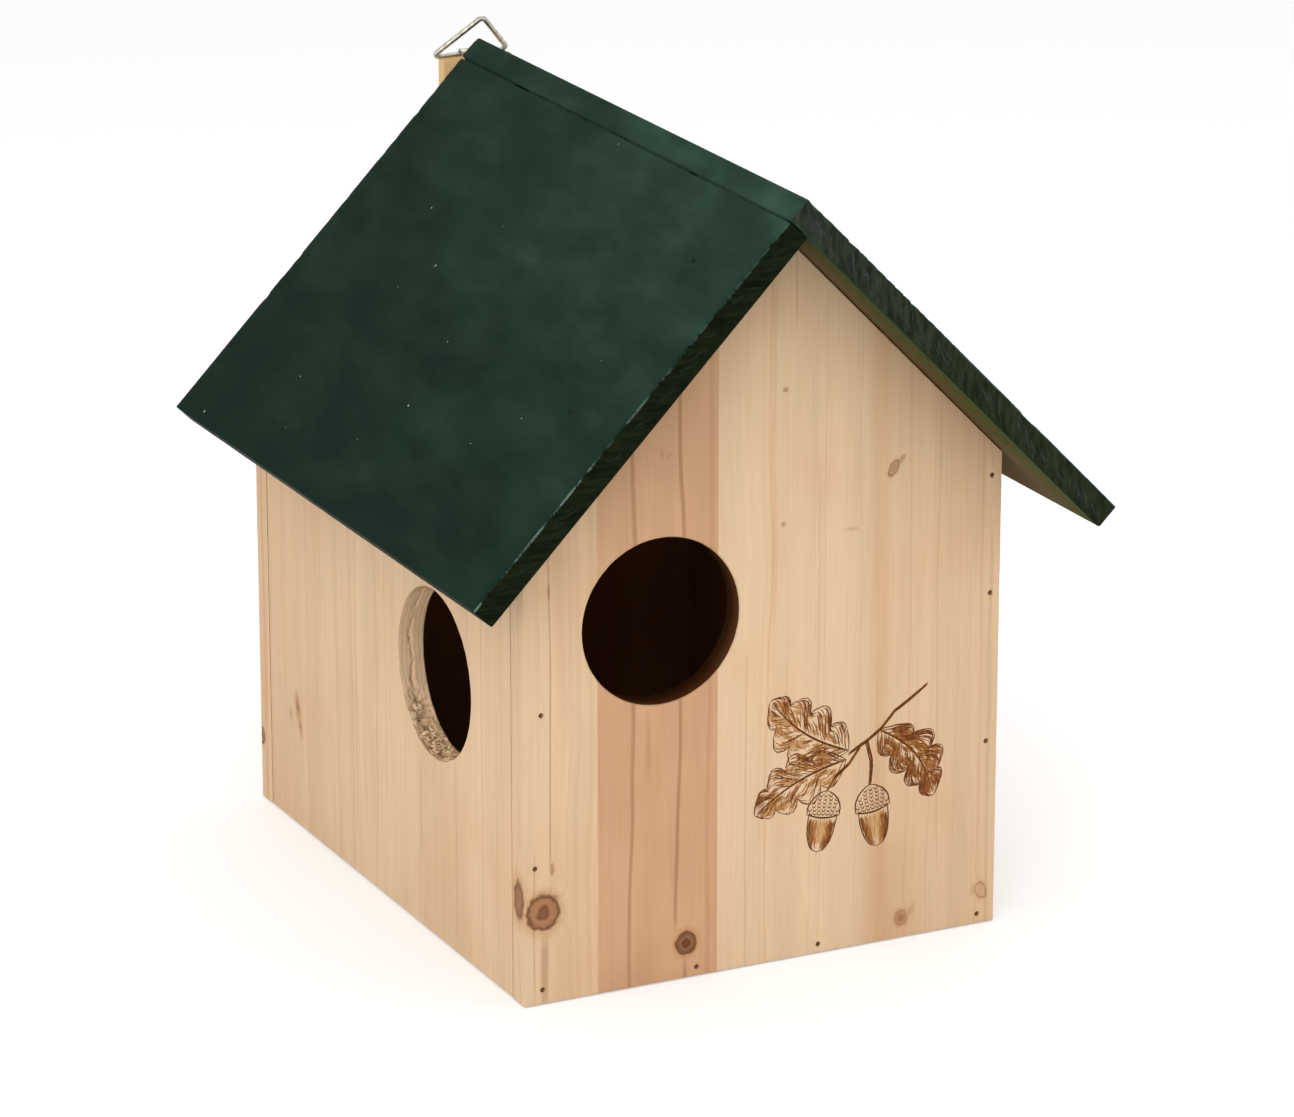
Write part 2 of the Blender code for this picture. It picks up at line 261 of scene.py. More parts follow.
def firMaterial(name, knots=(), streaks=(), shade=1.0, roughness=0.62, bleed=None, hue="#ffffff",
                deep=None, hollow=None):
    # knots: across, along, half width, half length, shade, and what differs from a usual knot
    # streaks: across, width, from, to, shade, and likewise; deep: painted shade, the share of light left 8 mm
    # into the board;
    # hollow: a hole whose tears get painted shade, darker the further out they go
    look = firLook
    material, add = newMaterial(name)
    board, grain, stave = [
        add("Attribute", attribute_name=label).outputs["Vector"] for label in ("board", "grain", "stave")]
    tone, seed, endFace = add("SeparateXYZ", stave).outputs
    across, along, depth = add("SeparateXYZ", board).outputs

    # Slow stray of the rings, and the lateral wobble that streaks and knots share
    seeded = add("VectorMath ADD", grain, add("CombineXYZ", seed, seed, seed))
    stray = add("TexNoise", add("VectorMath MULTIPLY", seeded, (1 / 38, 1 / 38, 1 / 120)), 1.0, 2.0)
    strayMm = add("MapRange", stray, 0.2, 0.8, -look["wander"], look["wander"])
    rings = add("Math ADD", add("VectorMath LENGTH", add("VectorMath MULTIPLY", grain, (1, 1, 0))), strayMm)

    # Knots: the rings swell round each one, and inside it has its own rings and a dark rim
    fuzz = add("TexNoise", board, 0.42, 1.5)
    heart = rim = inner = None
    for knot in knots:
        knotAcross, knotAlong, wide, long, dark = knot[:5]
        extra = knot[5] if knot[5:] else {}
        rimDark = extra.get("ring", dark)
        away = add("VectorMath SUBTRACT", board, (knotAcross, knotAlong, extra.get("inward", 0)))
        leant = add("VectorRotate", away, {"Angle": radians(extra.get("turn", 0))}, rotation_type="Z_AXIS")
        stretch = add("VectorMath MULTIPLY", leant, (1 / wide, 1 / long, 1 / extra.get("deep", 1e4)))
        far = add("VectorMath LENGTH", stretch)
        ragged = add("Math SUBTRACT", add("Math MULTIPLY_ADD", fuzz, 0.42, far), 0.21)
        core = add("MapRange SMOOTHSTEP", ragged, extra.get("soft", 0.82), 1.06, dark, 0.0)
        edge = add("Math SUBTRACT", ragged, 0.95)
        line = add("MapRange SMOOTHSTEP", add("Math ABSOLUTE", edge), 0.01, 0.21, rimDark, 0.0)
        swell = add("MapRange SMOOTHERSTEP", far, 0.0, 2.6, wide * 0.9, 0.0)
        halo = add("MapRange SMOOTHSTEP", ragged, 0.7, 1.75, 0.8 * max(dark, extra.get("ring", 0)), 0.0)
        wave = add("Math SINE", add("Math MULTIPLY", ragged, 15.0))
        pithDark = add("MapRange SMOOTHSTEP", ragged, 0.0, 0.85, -2.4, 0.4 - extra.get("dark", 0.0))
        waveIn = add("Math MULTIPLY", add("Math MULTIPLY_ADD", wave, 0.5, pithDark), core)
        rings = add("Math ADD", rings, swell)
        if heart is None:
            heart, rim, inner, glow = core, line, waveIn, halo
        else:
            heart = add("Math MAXIMUM", heart, core)
            rim = add("Math MAXIMUM", rim, line)
            glow = add("Math MAXIMUM", glow, halo)
            inner = add("Math ADD", inner, waveIn)

    # Growth rings: a slow rise to latewood and a quick fall, some rings much stronger
    uneven = add("Math MULTIPLY_ADD", add("TexNoise", rings, 0.13, 1.0, noise_dimensions="1D"), 3.4, seed)
    counted = add("Math MULTIPLY_ADD", rings, 1 / look["ringWidth"], uneven)
    phase = add("Math FRACT", counted)
    strong = add("Math POWER", add("TexWhiteNoise", add("Math FLOOR", counted), noise_dimensions="1D"), 2.6)
    strength = add("MapRange", strong, 0, 1, 0.05, 0.62)
    line = add("ValToRGB", phase, stops=[
        (0.0, 0.0), (0.12, 0.06), (0.6, 0.14), (0.84, 1.0), (0.93, 0.6), (1.0, 0.0)])
    latewood = add("Math MULTIPLY", line, strength)

    # Fine fibres and soft blotches
    fine = (1 / look["fibreAcross"], 1 / look["fibreAcross"], 1 / look["fibreAlong"])
    fibre = add("TexNoise", add("VectorMath MULTIPLY", seeded, fine), 1.0, 3.0, 0.6)
    bands = add("TexNoise", add("VectorMath MULTIPLY", seeded, (1 / 9, 1 / 9, 1 / 140)), 1.0, 2.0)
    cloud = add("TexNoise", board, 0.016, 2.0)

    early = add("Mix RGBA", tone, look["earlywood"], look["pinkTone"])
    warm = add("Mix RGBA", add("MapRange SMOOTHSTEP", cloud, 0.42, 0.72, 0, 0.55), early, look["blush"])
    lined = add("Mix RGBA", latewood, warm, look["latewood"])

    # Placed lines: resin and strong latewood where the real boards show them
    wobble = add("MapRange", stray, 0.2, 0.8, -1.6, 1.6)
    tint = lined
    for streak in streaks:
        at, width, low, high, dark = streak[:5]
        extra = streak[5] if streak[5:] else {}
        aside = add("Math SUBTRACT", add("Math MULTIPLY_ADD", wobble, extra.get("sway", 1.0), across), at)
        near = add("MapRange SMOOTHSTEP", add("Math ABSOLUTE", aside), width * 0.2, width, dark, 0.0)
        begins = add("MapRange SMOOTHSTEP", along, low, low + 12)
        window = add("Math MULTIPLY", begins, add("MapRange SMOOTHSTEP", along, high - 12, high, 1.0, 0.0))
        tint = add("Mix RGBA", add("Math MULTIPLY", near, window), tint, extra.get("colour", look["resin"]))

    # End grain drinks light: darker and stronger rings
    endMask = add("Math MULTIPLY", add("Math MULTIPLY_ADD", latewood, 0.75, 0.55), endFace)
    tint = add("Mix RGBA", endMask, tint, look["endGrain"])

    # Broad bands and fibres lighten and darken the whole
    bandShade = add("MapRange", bands, 0.3, 0.7, 0.945, 1.04)
    both = add("Math MULTIPLY", bandShade, add("MapRange", fibre, 0.3, 0.7, 0.955, 1.035))
    overall = add("Math MULTIPLY", both, shade)
    # Painted shade: darker deeper into a hole's wall, and darker out in the clefts of torn holes
    darker = []
    if deep is not None:
        darker.append((depth, 0.5, 8.0, deep))
    if hollow:
        fromHole = add("VectorMath SUBTRACT", board, (hollow["at"][0] / mm, hollow["at"][1] / mm, 0))
        far = add("VectorMath LENGTH", add("VectorMath MULTIPLY", fromHole, (1, 1, 0)))
        edge = hollow["radius"] / mm
        darker.append((far, edge + 0.35, edge + 1.6, 0.58))
    for value, low, high, left in darker:
        overall = add("Math MULTIPLY", overall, add("MapRange SMOOTHSTEP", value, low, high, 1.0, left))
    tint = add("VectorMath SCALE", add("VectorMath MULTIPLY", tint, colour(hue)[:3]), overall)

    height = latewood
    if heart is not None:
        tint = add("Mix RGBA", glow, tint, look["knotGlow"])
        heartColour = add("Mix RGBA", add("MapRange", inner, -2.2, 0.9), look["knotPith"], look["knotHeart"])
        tint = add("Mix RGBA", heart, tint, heartColour)
        tint = add("Mix RGBA", rim, tint, look["knotRing"])
        height = add("Math SUBTRACT", latewood, rim)

    if bleed:
        # Paint that crept round the front edge onto bare wood
        crept = add("Math MULTIPLY_ADD", stray, -bleed["reach"], add("Math SUBTRACT", along, bleed["edge"]))
        stain = add("MapRange SMOOTHSTEP", crept, -0.2 * bleed["reach"], 0.8 * bleed["reach"], 0.9, 0.0)
        tint = add("Mix RGBA", stain, tint, add("Mix RGBA", fuzz, bleed["colour"], bleed["dark"]))

    bump = add("Bump", 0.35, 0.00012, {"Height": add("Math MULTIPLY_ADD", fibre, 0.8, height)})
    add("OutputMaterial", add("BsdfPrincipled", {
        "Base Color": tint, "Roughness": roughness, "IOR": 1.5, "Normal": bump,
        "Specular IOR Level": 0.14 * min(1.0, shade)}))
    return material


# Boards. A board is drawn flat (across, along, depth from its outer face) and then put in place.
boardLook = {
    "edgeStep": 2.2 * mm,     # length of the short runs that an edge is drawn in
    "edgeWander": 0.16 * mm,  # how far a sawn edge strays inwards
    "ease": 0.55 * mm,        # sanded-off arris
    "easeSteps": 2,
    "easeShape": 0.6,         # 0.5 is a quarter circle, higher is fuller
    "sharp": 24,              # degrees, above which an edge shows as a crease
}


def edgeWalk(corners, step, wander, seed):
    points = []
    centre = sum((Vector(c) for c in corners), Vector((0, 0))) / len(corners)
    for a, b in zip(corners, corners[1:] + corners[:1]):
        a, b = Vector(a), Vector(b)
        runs = max(1, round((b - a).length / step))
        side = Vector((b - a).orthogonal()).normalized()
        if side.dot(centre - a) < 0:
            side = -side
        for i in range(runs):
            p = a.lerp(b, i / runs)
            stray = 0 if i == 0 else noise(Vector((p.x, p.y, seed)) / (3.1 * mm)) * 0.5 + 0.5
            points.append(p + side * stray * wander)
    return points


def boardMesh(name, corners, thick, place, staves, cutters=(), seed=0.0):
    # A closed board with eased edges, split at its staves, in its place in the object
    look = boardLook
    shape = bmesh.new()
    outline = edgeWalk(corners, look["edgeStep"], look["edgeWander"], seed)
    face = shape.faces.new([shape.verts.new((p.x, p.y, 0)) for p in outline])
    pushed = bmesh.ops.extrude_face_region(shape, geom=[face])
    bmesh.ops.translate(shape, vec=(0, 0, thick), verts=[
        v for v in pushed["geom"] if isinstance(v, bmesh.types.BMVert)])
    bmesh.ops.recalc_face_normals(shape, faces=shape.faces)
    arrises = [e for e in shape.edges if any(abs(f.normal.z) > 0.9 for f in e.link_faces)]
    bmesh.ops.bevel(shape, geom=arrises, offset=look["ease"], segments=look["easeSteps"],
                    profile=look["easeShape"], affect="EDGES", clamp_overlap=True)
    for edge, *_ in staves[1:]:
        geometry = shape.verts[:] + shape.edges[:] + shape.faces[:]
        bmesh.ops.bisect_plane(
            shape, geom=geometry, dist=1e-7, plane_co=(edge * mm, 0, 0), plane_no=(1, 0, 0))
    mesh = plainMesh(name, shape)
    if cutters:
        mesh = evaluated(name, mesh, lambda carrier: [cutAway(carrier, cutter) for cutter in cutters])
    return smooth(putInPlace(mesh, staves, place), look["sharp"])


def cutAway(carrier, cutter):
    boolean = carrier.modifiers.new(cutter.name, "BOOLEAN")
    boolean.operation = "DIFFERENCE"
    boolean.solver = "EXACT"
    boolean.object = cutter
    return boolean


def putInPlace(mesh, staves, place):
    mesh.transform(place)
    if place.determinant() < 0:
        mesh.flip_normals()
    writeGrain(mesh, staves, place)
    return mesh


def writeGrain(mesh, staves, place):
    # staves: (left edge, tone, pith across, pith depth), all but the tone in mm
    back = place.inverted()
    board, grain, stave = (
        mesh.attributes.new(label, "FLOAT_VECTOR", "CORNER").data for label in ("board", "grain", "stave"))
    for face in mesh.polygons:
        middle = back @ face.center
        number = max([i for i, s in enumerate(staves) if middle.x > s[0] * mm] or [0])
        edge, tone, pithAcross, pithDepth = staves[number]
        onEnd = 1.0 if abs((back.to_3x3() @ face.normal).y) > 0.75 else 0.0
        for loop in face.loop_indices:
            p = back @ mesh.vertices[mesh.loops[loop].vertex_index].co
            board[loop].vector = p / mm
            grain[loop].vector = ((p.x - pithAcross * mm) / mm, (p.z - pithDepth * mm) / mm, p.y / mm)
            stave[loop].vector = (tone, 7.3 * number + 1.7, onEnd)


def cutterObject(name, shape):
    cutter = addObject(name, plainMesh(name, shape))
    cutter.hide_render = True
    return cutter


def holeCutter(name, thick, hole):
    # A hole saw's plug with a worn rim, scoring lines and a torn patch
    shape = bmesh.new()
    sides, layers, torn = hole["sides"], hole["layers"], hole.get("torn")
    reach = 1.2 * mm  # past both faces
    rings = []
    for k in range(layers + 1):
        depth = -reach + (thick + 2 * reach) * k / layers
        ring = []
        for i in range(sides):
            angle = 2 * pi * i / sides
            out = Vector((cos(angle), sin(angle), 0))
            at = Vector((out.x * hole["radius"], out.y * hole["radius"], depth)) / mm
            rimWear = hole["rim"] * (0.75 + 0.5 * noise(at * 0.35))
            fromFace = min(depth, thick - depth)
            r = hole["radius"] + max(0, rimWear - fromFace)
            scoring = sin(2 * pi * depth / hole["scorePitch"] + 2 * noise(at * 0.12))
            r += hole["score"] * scoring
            r += hole["grit"] * noise(at * 1.4)
            if torn:
                # A jagged split half way through the wall, and crumbs torn out of its lower end
                apart = abs((degrees(angle) - torn["middle"] + 180) % 360 - 180)
                share = depth / thick
                flat = Vector((at.x, at.y, 0))
                line = torn["split"] + 0.16 * noise(flat * 0.12) + 0.08 * noise(flat * 0.55)
                gap = max(0.0, 0.45 + noise(flat * 0.30 + Vector((9, 0, 0))))
                reachFade = max(0.0, 1 - apart / torn["splitAngle"]) ** 0.5
                r += torn["splitDeep"] * gap * reachFade * exp(-((share - line) / 0.06) ** 2)
                crumbFade = max(0.0, 1 - apart / torn["crumbAngle"]) ** 0.5
                cells, middles = voronoi(Vector((at.x, at.y, at.z * 0.8)) * torn["crumbs"])
                lottery = (sin(middles[0].dot(Vector((12.9, 78.2, 37.7)))) * 43758.5) % 1
                cleft = exp(-((cells[1] - cells[0]) / 0.11) ** 2)
                inWall = max(0.0, 1 - abs(share - 0.5) / 0.53) ** 0.7
                crumb = 0.75 * lottery + 0.7 * cleft - 0.22 * (lottery < 0.3)
                r += torn["bite"] * crumbFade * inWall * crumb
            ring.append(shape.verts.new((hole["at"][0] + out.x * r, hole["at"][1] + out.y * r, depth)))
        rings.append(ring)
    wall(shape, rings)
    shape.faces.new(rings[0])
    shape.faces.new(rings[-1])
    return cutterObject(name, shape)


nailPit = {"mouth": 1.1 * mm, "floor": 0.76 * mm, "deep": 0.55 * mm, "sides": 12}


def pitCutter(name, spots):
    # Small cone-shaped pits that the pins sit in
    shape = bmesh.new()
    for x, y in spots:
        bmesh.ops.create_cone(
            shape, cap_ends=True, segments=nailPit["sides"], radius1=nailPit["mouth"] * 1.35,
            radius2=nailPit["floor"], depth=2 * nailPit["deep"], matrix=Matrix.Translation((x, y, 0)))
    return cutterObject(name, shape)


def middleOf(node):
    low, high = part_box(node)
    return (low + high) / 2


def placesOf(place, words):
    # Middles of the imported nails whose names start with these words, on a board's face
    back = place.inverted()
    return [(back @ middleOf(n)).xy for n in frame["nodes"] if n.startswith(words) and "nail" in n]


def placeMatrix(origin, across, along, inward):
    matrix = Matrix.Identity(4)
    for column, vector in enumerate((across, along, inward, origin)):
        for row in range(3):
            matrix[row][column] = vector[row]
    return matrix


def rectangle(left, bottom, right, top):
    return [(left, bottom), (right, bottom), (right, top), (left, top)]


def addWall(name, node, look, corners, thick, place, seed, cutters=(), rim=None):
    # A bare board whose inner face is sawn and painted darker as painted shade inside the box, and the rim of
    # whose hole has a finish of its own
    fir = firMaterial(look["finish"], look["knots"], look.get("streaks", ()))
    mesh = boardMesh(name, corners, thick, place, look["staves"], cutters, seed)
    back, hole = place.inverted(), look.get("hole")

    def slotRule(middle, normal):
        at, facing = back @ middle, back.to_3x3() @ normal
        if hole and abs(facing.z) < hole["steep"] and at.z > 0.3 * mm:
            if hypot(at.x - hole["at"][0], at.y - hole["at"][1]) < hole["radius"] + hole["reach"]:
                return 2
        return 1 if facing.z > 0.9 and at.z > thick - mm else 0
    addPiece(name, mesh, [fir, shadedInside] + [rim] * bool(rim), [node], slotRule)


xWay, yWay, zWay = Vector((1, 0, 0)), Vector((0, 1, 0)), Vector((0, 0, 1))
gable = [(-halfBody, 0), (halfBody, 0), (halfBody, wallHeight), (0, apexZ), (-halfBody, wallHeight)]
sideCorners = rectangle(sideLow.y, 0, sideHigh.y, wallHeight)

# Front panel: five edge-glued staves, the second one pinker, round entrance near its top
print("walls")
# Inner faces: sawn fir, painted darker and redder as painted shade inside the closed box
shadedInside = firMaterial("sawnFirInside", shade=0.58, roughness=0.9, hue="#dcae88")
frontLook = {
    "finish": "planedFirFront",
    "staves": [
        (-92.5, 0.12, -150, 46),
        (-64.5, 1.00, -42.5, 33),
        (-18.5, 0.00, -75, 32),
        (43.5, 0.19, 128, 40),
        (81.5, 0.20, 150, -30),
    ],
    "knots": [
        (-85.4, 33.9, 6.0, 6.4, 0.88, {"ring": 0.78}),
        (-94.4, 39.8, 2.9, 9.0, 0.85, {"inward": 4.6, "deep": 4.6, "ring": 0.7, "dark": 0.6, "turn": -7}),
        (-81.9, 49.2, 0.7, 2.0, 0.45, {"soft": 0.3}),
        (-82.7, 149.6, 0.4, 2.4, 0.45, {"soft": 0.3}),
        (-30.5, 13.0, 3.9, 4.2, 0.94, {"ring": 0.8, "dark": 1.3}),
        (49.4, 175.2, 1.7, 3.1, 0.45, {"ring": 0.52, "turn": 28}),
        (52.6, 178.2, 0.8, 1.8, 0.4, {"turn": 40, "soft": 0.3}),
        (54.6, 7.5, 2.5, 3.0, 0.62, {"ring": 0.35, "soft": 0.5}),
        (58.5, 9.6, 1.4, 3.0, 0.22, {"ring": 0.0, "turn": 30, "soft": 0.2}),
        (86.9, 12.5, 2.2, 3.3, 0.06, {"ring": 0.42, "turn": -25}),
        (83.6, 13.0, 0.6, 2.2, 0.22, {"ring": 0.1, "soft": 0.2}),
        (7.0, 209.0, 0.9, 0.8, 0.4),
        (6.5, 161.0, 0.8, 0.8, 0.35),
        (33.0, 155.6, 2.8, 0.8, 0.22, {"ring": 0.0, "soft": 0.1}),
        (-40.0, 192.4, 0.5, 1.8, 0.3, {"ring": 0.1, "soft": 0.2}),
        (-37.4, 191.6, 0.5, 1.0, 0.26, {"ring": 0.1, "soft": 0.2, "turn": 40}),
    ],
    "streaks": [
        (-82.2, 0.55, 44, 168, 0.42),
        (-88.4, 0.5, 0, 60, 0.3),
        (-84.6, 2.2, -6, 31, 0.48, {"colour": "#94663c"}),
        (-51.6, 1.3, -12, 220, 0.46, {"colour": "#94663c", "sway": 2.2}),
        (-33.0, 1.1, 14, 250, 0.5, {"colour": "#8f6036", "sway": 2.0}),
        (-30.4, 1.2, -12, 12, 0.5, {"colour": "#8f6036"}),
        (-44.0, 7.0, -12, 95, 0.2, {"colour": "#b98b60"}),
        (-21.6, 1.3, -20, 250, 0.16),
        (-45.5, 1.4, 72, 106, 0.22),
        (2.2, 1.6, 120, 275, 0.3, {"colour": "#d39a70"}),
        (10.4, 0.45, 228, 264, 0.34),
        (20.5, 0.6, 60, 180, 0.16),
        (-7.5, 0.6, -20, 120, 0.16),
        (68.0, 0.6, 20, 200, 0.14),
        (88.8, 1.2, -10, 150, 0.16),
        (44.5, 6.5, -12, 262, 0.31, {"colour": "#c79468"}),
        (50.5, 15.0, -14, 44, 0.17, {"colour": "#c98a56"}),
    ],
    "hole": {
        "at": (-40.145 * mm, 132.723 * mm), "radius": 30.0 * mm, "steep": 0.8, "reach": 1.5 * mm,
        "sides": 160, "layers": 22, "rim": 0.45 * mm, "score": 0.035 * mm, "scorePitch": 0.8 * mm,
        "grit": 0.07 * mm,
    },
}
# The hole's wall is painted dark brown: painted shade inside the entrance, darker still deeper in
holeWallShade = firMaterial("scorchedFirRim", shade=0.16, roughness=0.85, hue="#ffbf92", deep=0.35)
frontPlace = placeMatrix((0, frontY, 0), xWay, zWay, yWay)
frontCutters = [
    holeCutter("frontEntranceCutter", wallThick, frontLook["hole"]),
    pitCutter("frontPitCutter", placesOf(frontPlace, "front_"))]
addWall("frontBoard", "front_panel", frontLook, gable, wallThick, frontPlace, 1.3, frontCutters, holeWallShade)

# Left side panel: narrow staves, its entrance torn out at the lower back of the rim
sideLook = {
    "finish": "planedFirSide",
    "staves": [
        (-120, 0.16, -175, 38),
        (-94, 0.04, -20, -50),
        (-72, 0.18, -140, 46),
        (-31, 0.02, 60, -54),
        (28, 0.10, -30, 40),
        (60, 0.24, 150, 60),
    ],
    "knots": [
        (80.6, 46.6, 2.3, 5.0, 0.62, {"ring": 0.0, "soft": 0.2, "turn": 12}),
        (78.6, 40.0, 1.7, 4.6, 0.45, {"ring": 0.0, "soft": 0.2, "turn": 14}),
        (87.5, 42.0, 1.3, 3.0, 0.3, {"ring": 0.0, "soft": 0.1}),
    ],
    "streaks": [
        (-31.2, 0.5, 22, 68, 0.3),
        (58.0, 1.6, 80, 178, 0.2, {"colour": "#c98f62"}),
        (26.0, 1.3, 10, 170, 0.12),
        (8.0, 0.9, 10, 170, 0.14),
        (105.0, 1.2, -10, 180, 0.16, {"colour": "#c98f62"}),
        (-60.0, 0.7, 0, 90, 0.14),
        (-83.0, 0.9, 0, 180, 0.14),
    ],
    "hole": {
        "at": (-43.29 * mm, 98.79 * mm), "radius": 31.0 * mm, "steep": 0.9, "reach": 2.5 * mm,
        "sides": 420, "layers": 52, "rim": 0.30 * mm, "score": 0.03 * mm, "scorePitch": 1.6 * mm,
        "grit": 0.05 * mm,
        "torn": {
            "middle": -72, "splitAngle": 135, "split": 0.46, "splitDeep": 1.4 * mm,
            "crumbAngle": 46, "crumbs": 0.30, "bite": 2.2 * mm,
        },
    },
}
# Sawn rim of the hole: across the fibres, so greyer and rougher than the planed face, with painted shade in
# the clefts of its tears
sawnRim = firMaterial("sawnFirRim", shade=1.10, roughness=0.9, hollow=sideLook["hole"])
addWall("leftSideBoard", "left_side_panel", sideLook, sideCorners, wallThick,
        placeMatrix((-halfBody, 0, 0), yWay, zWay, xWay), 4.1,
        [holeCutter("sideEntranceCutter", wallThick, sideLook["hole"])], sawnRim)

rightLook = {
    "finish": "planedFirRightSide",
    "staves": [
        (-120, 0.10, -96, -44),
        (-80, 0.55, -52, 38),
        (-22, 0.0, 4, -58),
        (34, 0.14, 61, 36),
        (88, 0.35, 110, -40),
    ],
    "knots": [
        (-52.0, 121.0, 4.2, 4.8, 0.7),
        (61.0, 38.0, 3.4, 3.8, 0.6, {"ring": 0.75}),
        (10.0, 88.0, 1.3, 1.6, 0.5),
    ],
    "streaks": [
        (-50.5, 0.6, -10, 180, 0.3),
        (30.0, 0.8, -10, 180, 0.18),
        (96.0, 0.8, 10, 150, 0.2),
    ],
}
addWall("rightSideBoard", "right_side_panel", rightLook, sideCorners, wallThick,
        placeMatrix((halfBody, 0, 0), yWay, zWay, -xWay), 6.7)

backLook = {
    "finish": "planedFirBack",
    "staves": [
        (-92.5, 0.30, -70, 40),
        (-46, 0.0, -20, -48),
        (8, 0.9, 27, 36),
        (52, 0.12, 74, -44),
    ],
    "knots": [
        (-21.0, 58.0, 5.0, 5.6, 0.72, {"ring": 0.85}),
        (-92.9, 24.3, 1.6, 3.2, 0.9, {"inward": 1.0, "deep": 2.6}),
        (66.0, 118.0, 3.6, 4.2, 0.62),
        (-60.0, 132.0, 2.0, 2.6, 0.5),
        (30.0, 21.0, 3.0, 3.2, 0.6),
    ],
    "streaks": [
        (18.0, 0.6, -10, 250, 0.34),
        (36.5, 0.7, -10, 240, 0.3),
        (-30.0, 0.9, 20, 230, 0.16),
    ],
}
backPlace = placeMatrix((0, backY, 0), xWay, zWay, -yWay)
addWall("backBoard", "back_panel", backLook, gable, wallThick, backPlace, 9.2,
        [pitCutter("backPitCutter", placesOf(backPlace, "back_"))])

# Floor board, its grain front to back
floorLow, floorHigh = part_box("floor_board")
floorLook = {
    "finish": "planedFirFloor",
    "staves": [
        (-90, 0.3, -60, -40),
        (-28, 0.0, 0, 46),
        (33, 0.6, 52, -38),
    ],
    "knots": [
        (-50.0, 30.0, 4.4, 5.4, 0.7),
        (12.0, -64.0, 3.0, 3.6, 0.6),
    ],
}
addWall("floorBoard", "floor_board", floorLook, rectangle(*floorLow.xy, *floorHigh.xy), floorHigh.z,
        placeMatrix((0, 0, 0), xWay, yWay, zWay), 12.4)

# Roof: fir boards dipped in thin green paint, so the coat is cloudy, half matt and
# shows brush marks; end grain soaks it up and stays darker.
print("roof")
paintLook = {
    "deep": "#0e2118",
    "mid": "#182c21",
    "light": "#21362a",
    "pale": "#314a3d",
    "endGrain": "#090f05",
    "endLight": "#1a2310",
    "greyEnd": "#3c453d",
    "oliveEnd": "#484826",
    "worn": "#647a6f",
    "darkBackAndRidge": "#17140e",
    "cloud": 46.0,      # mm across a cloud
    "smear": 15.0,      # mm, shorter smears along the board
    "brush": 1.1,       # mm between brush marks, drawn coarser than bristles
}


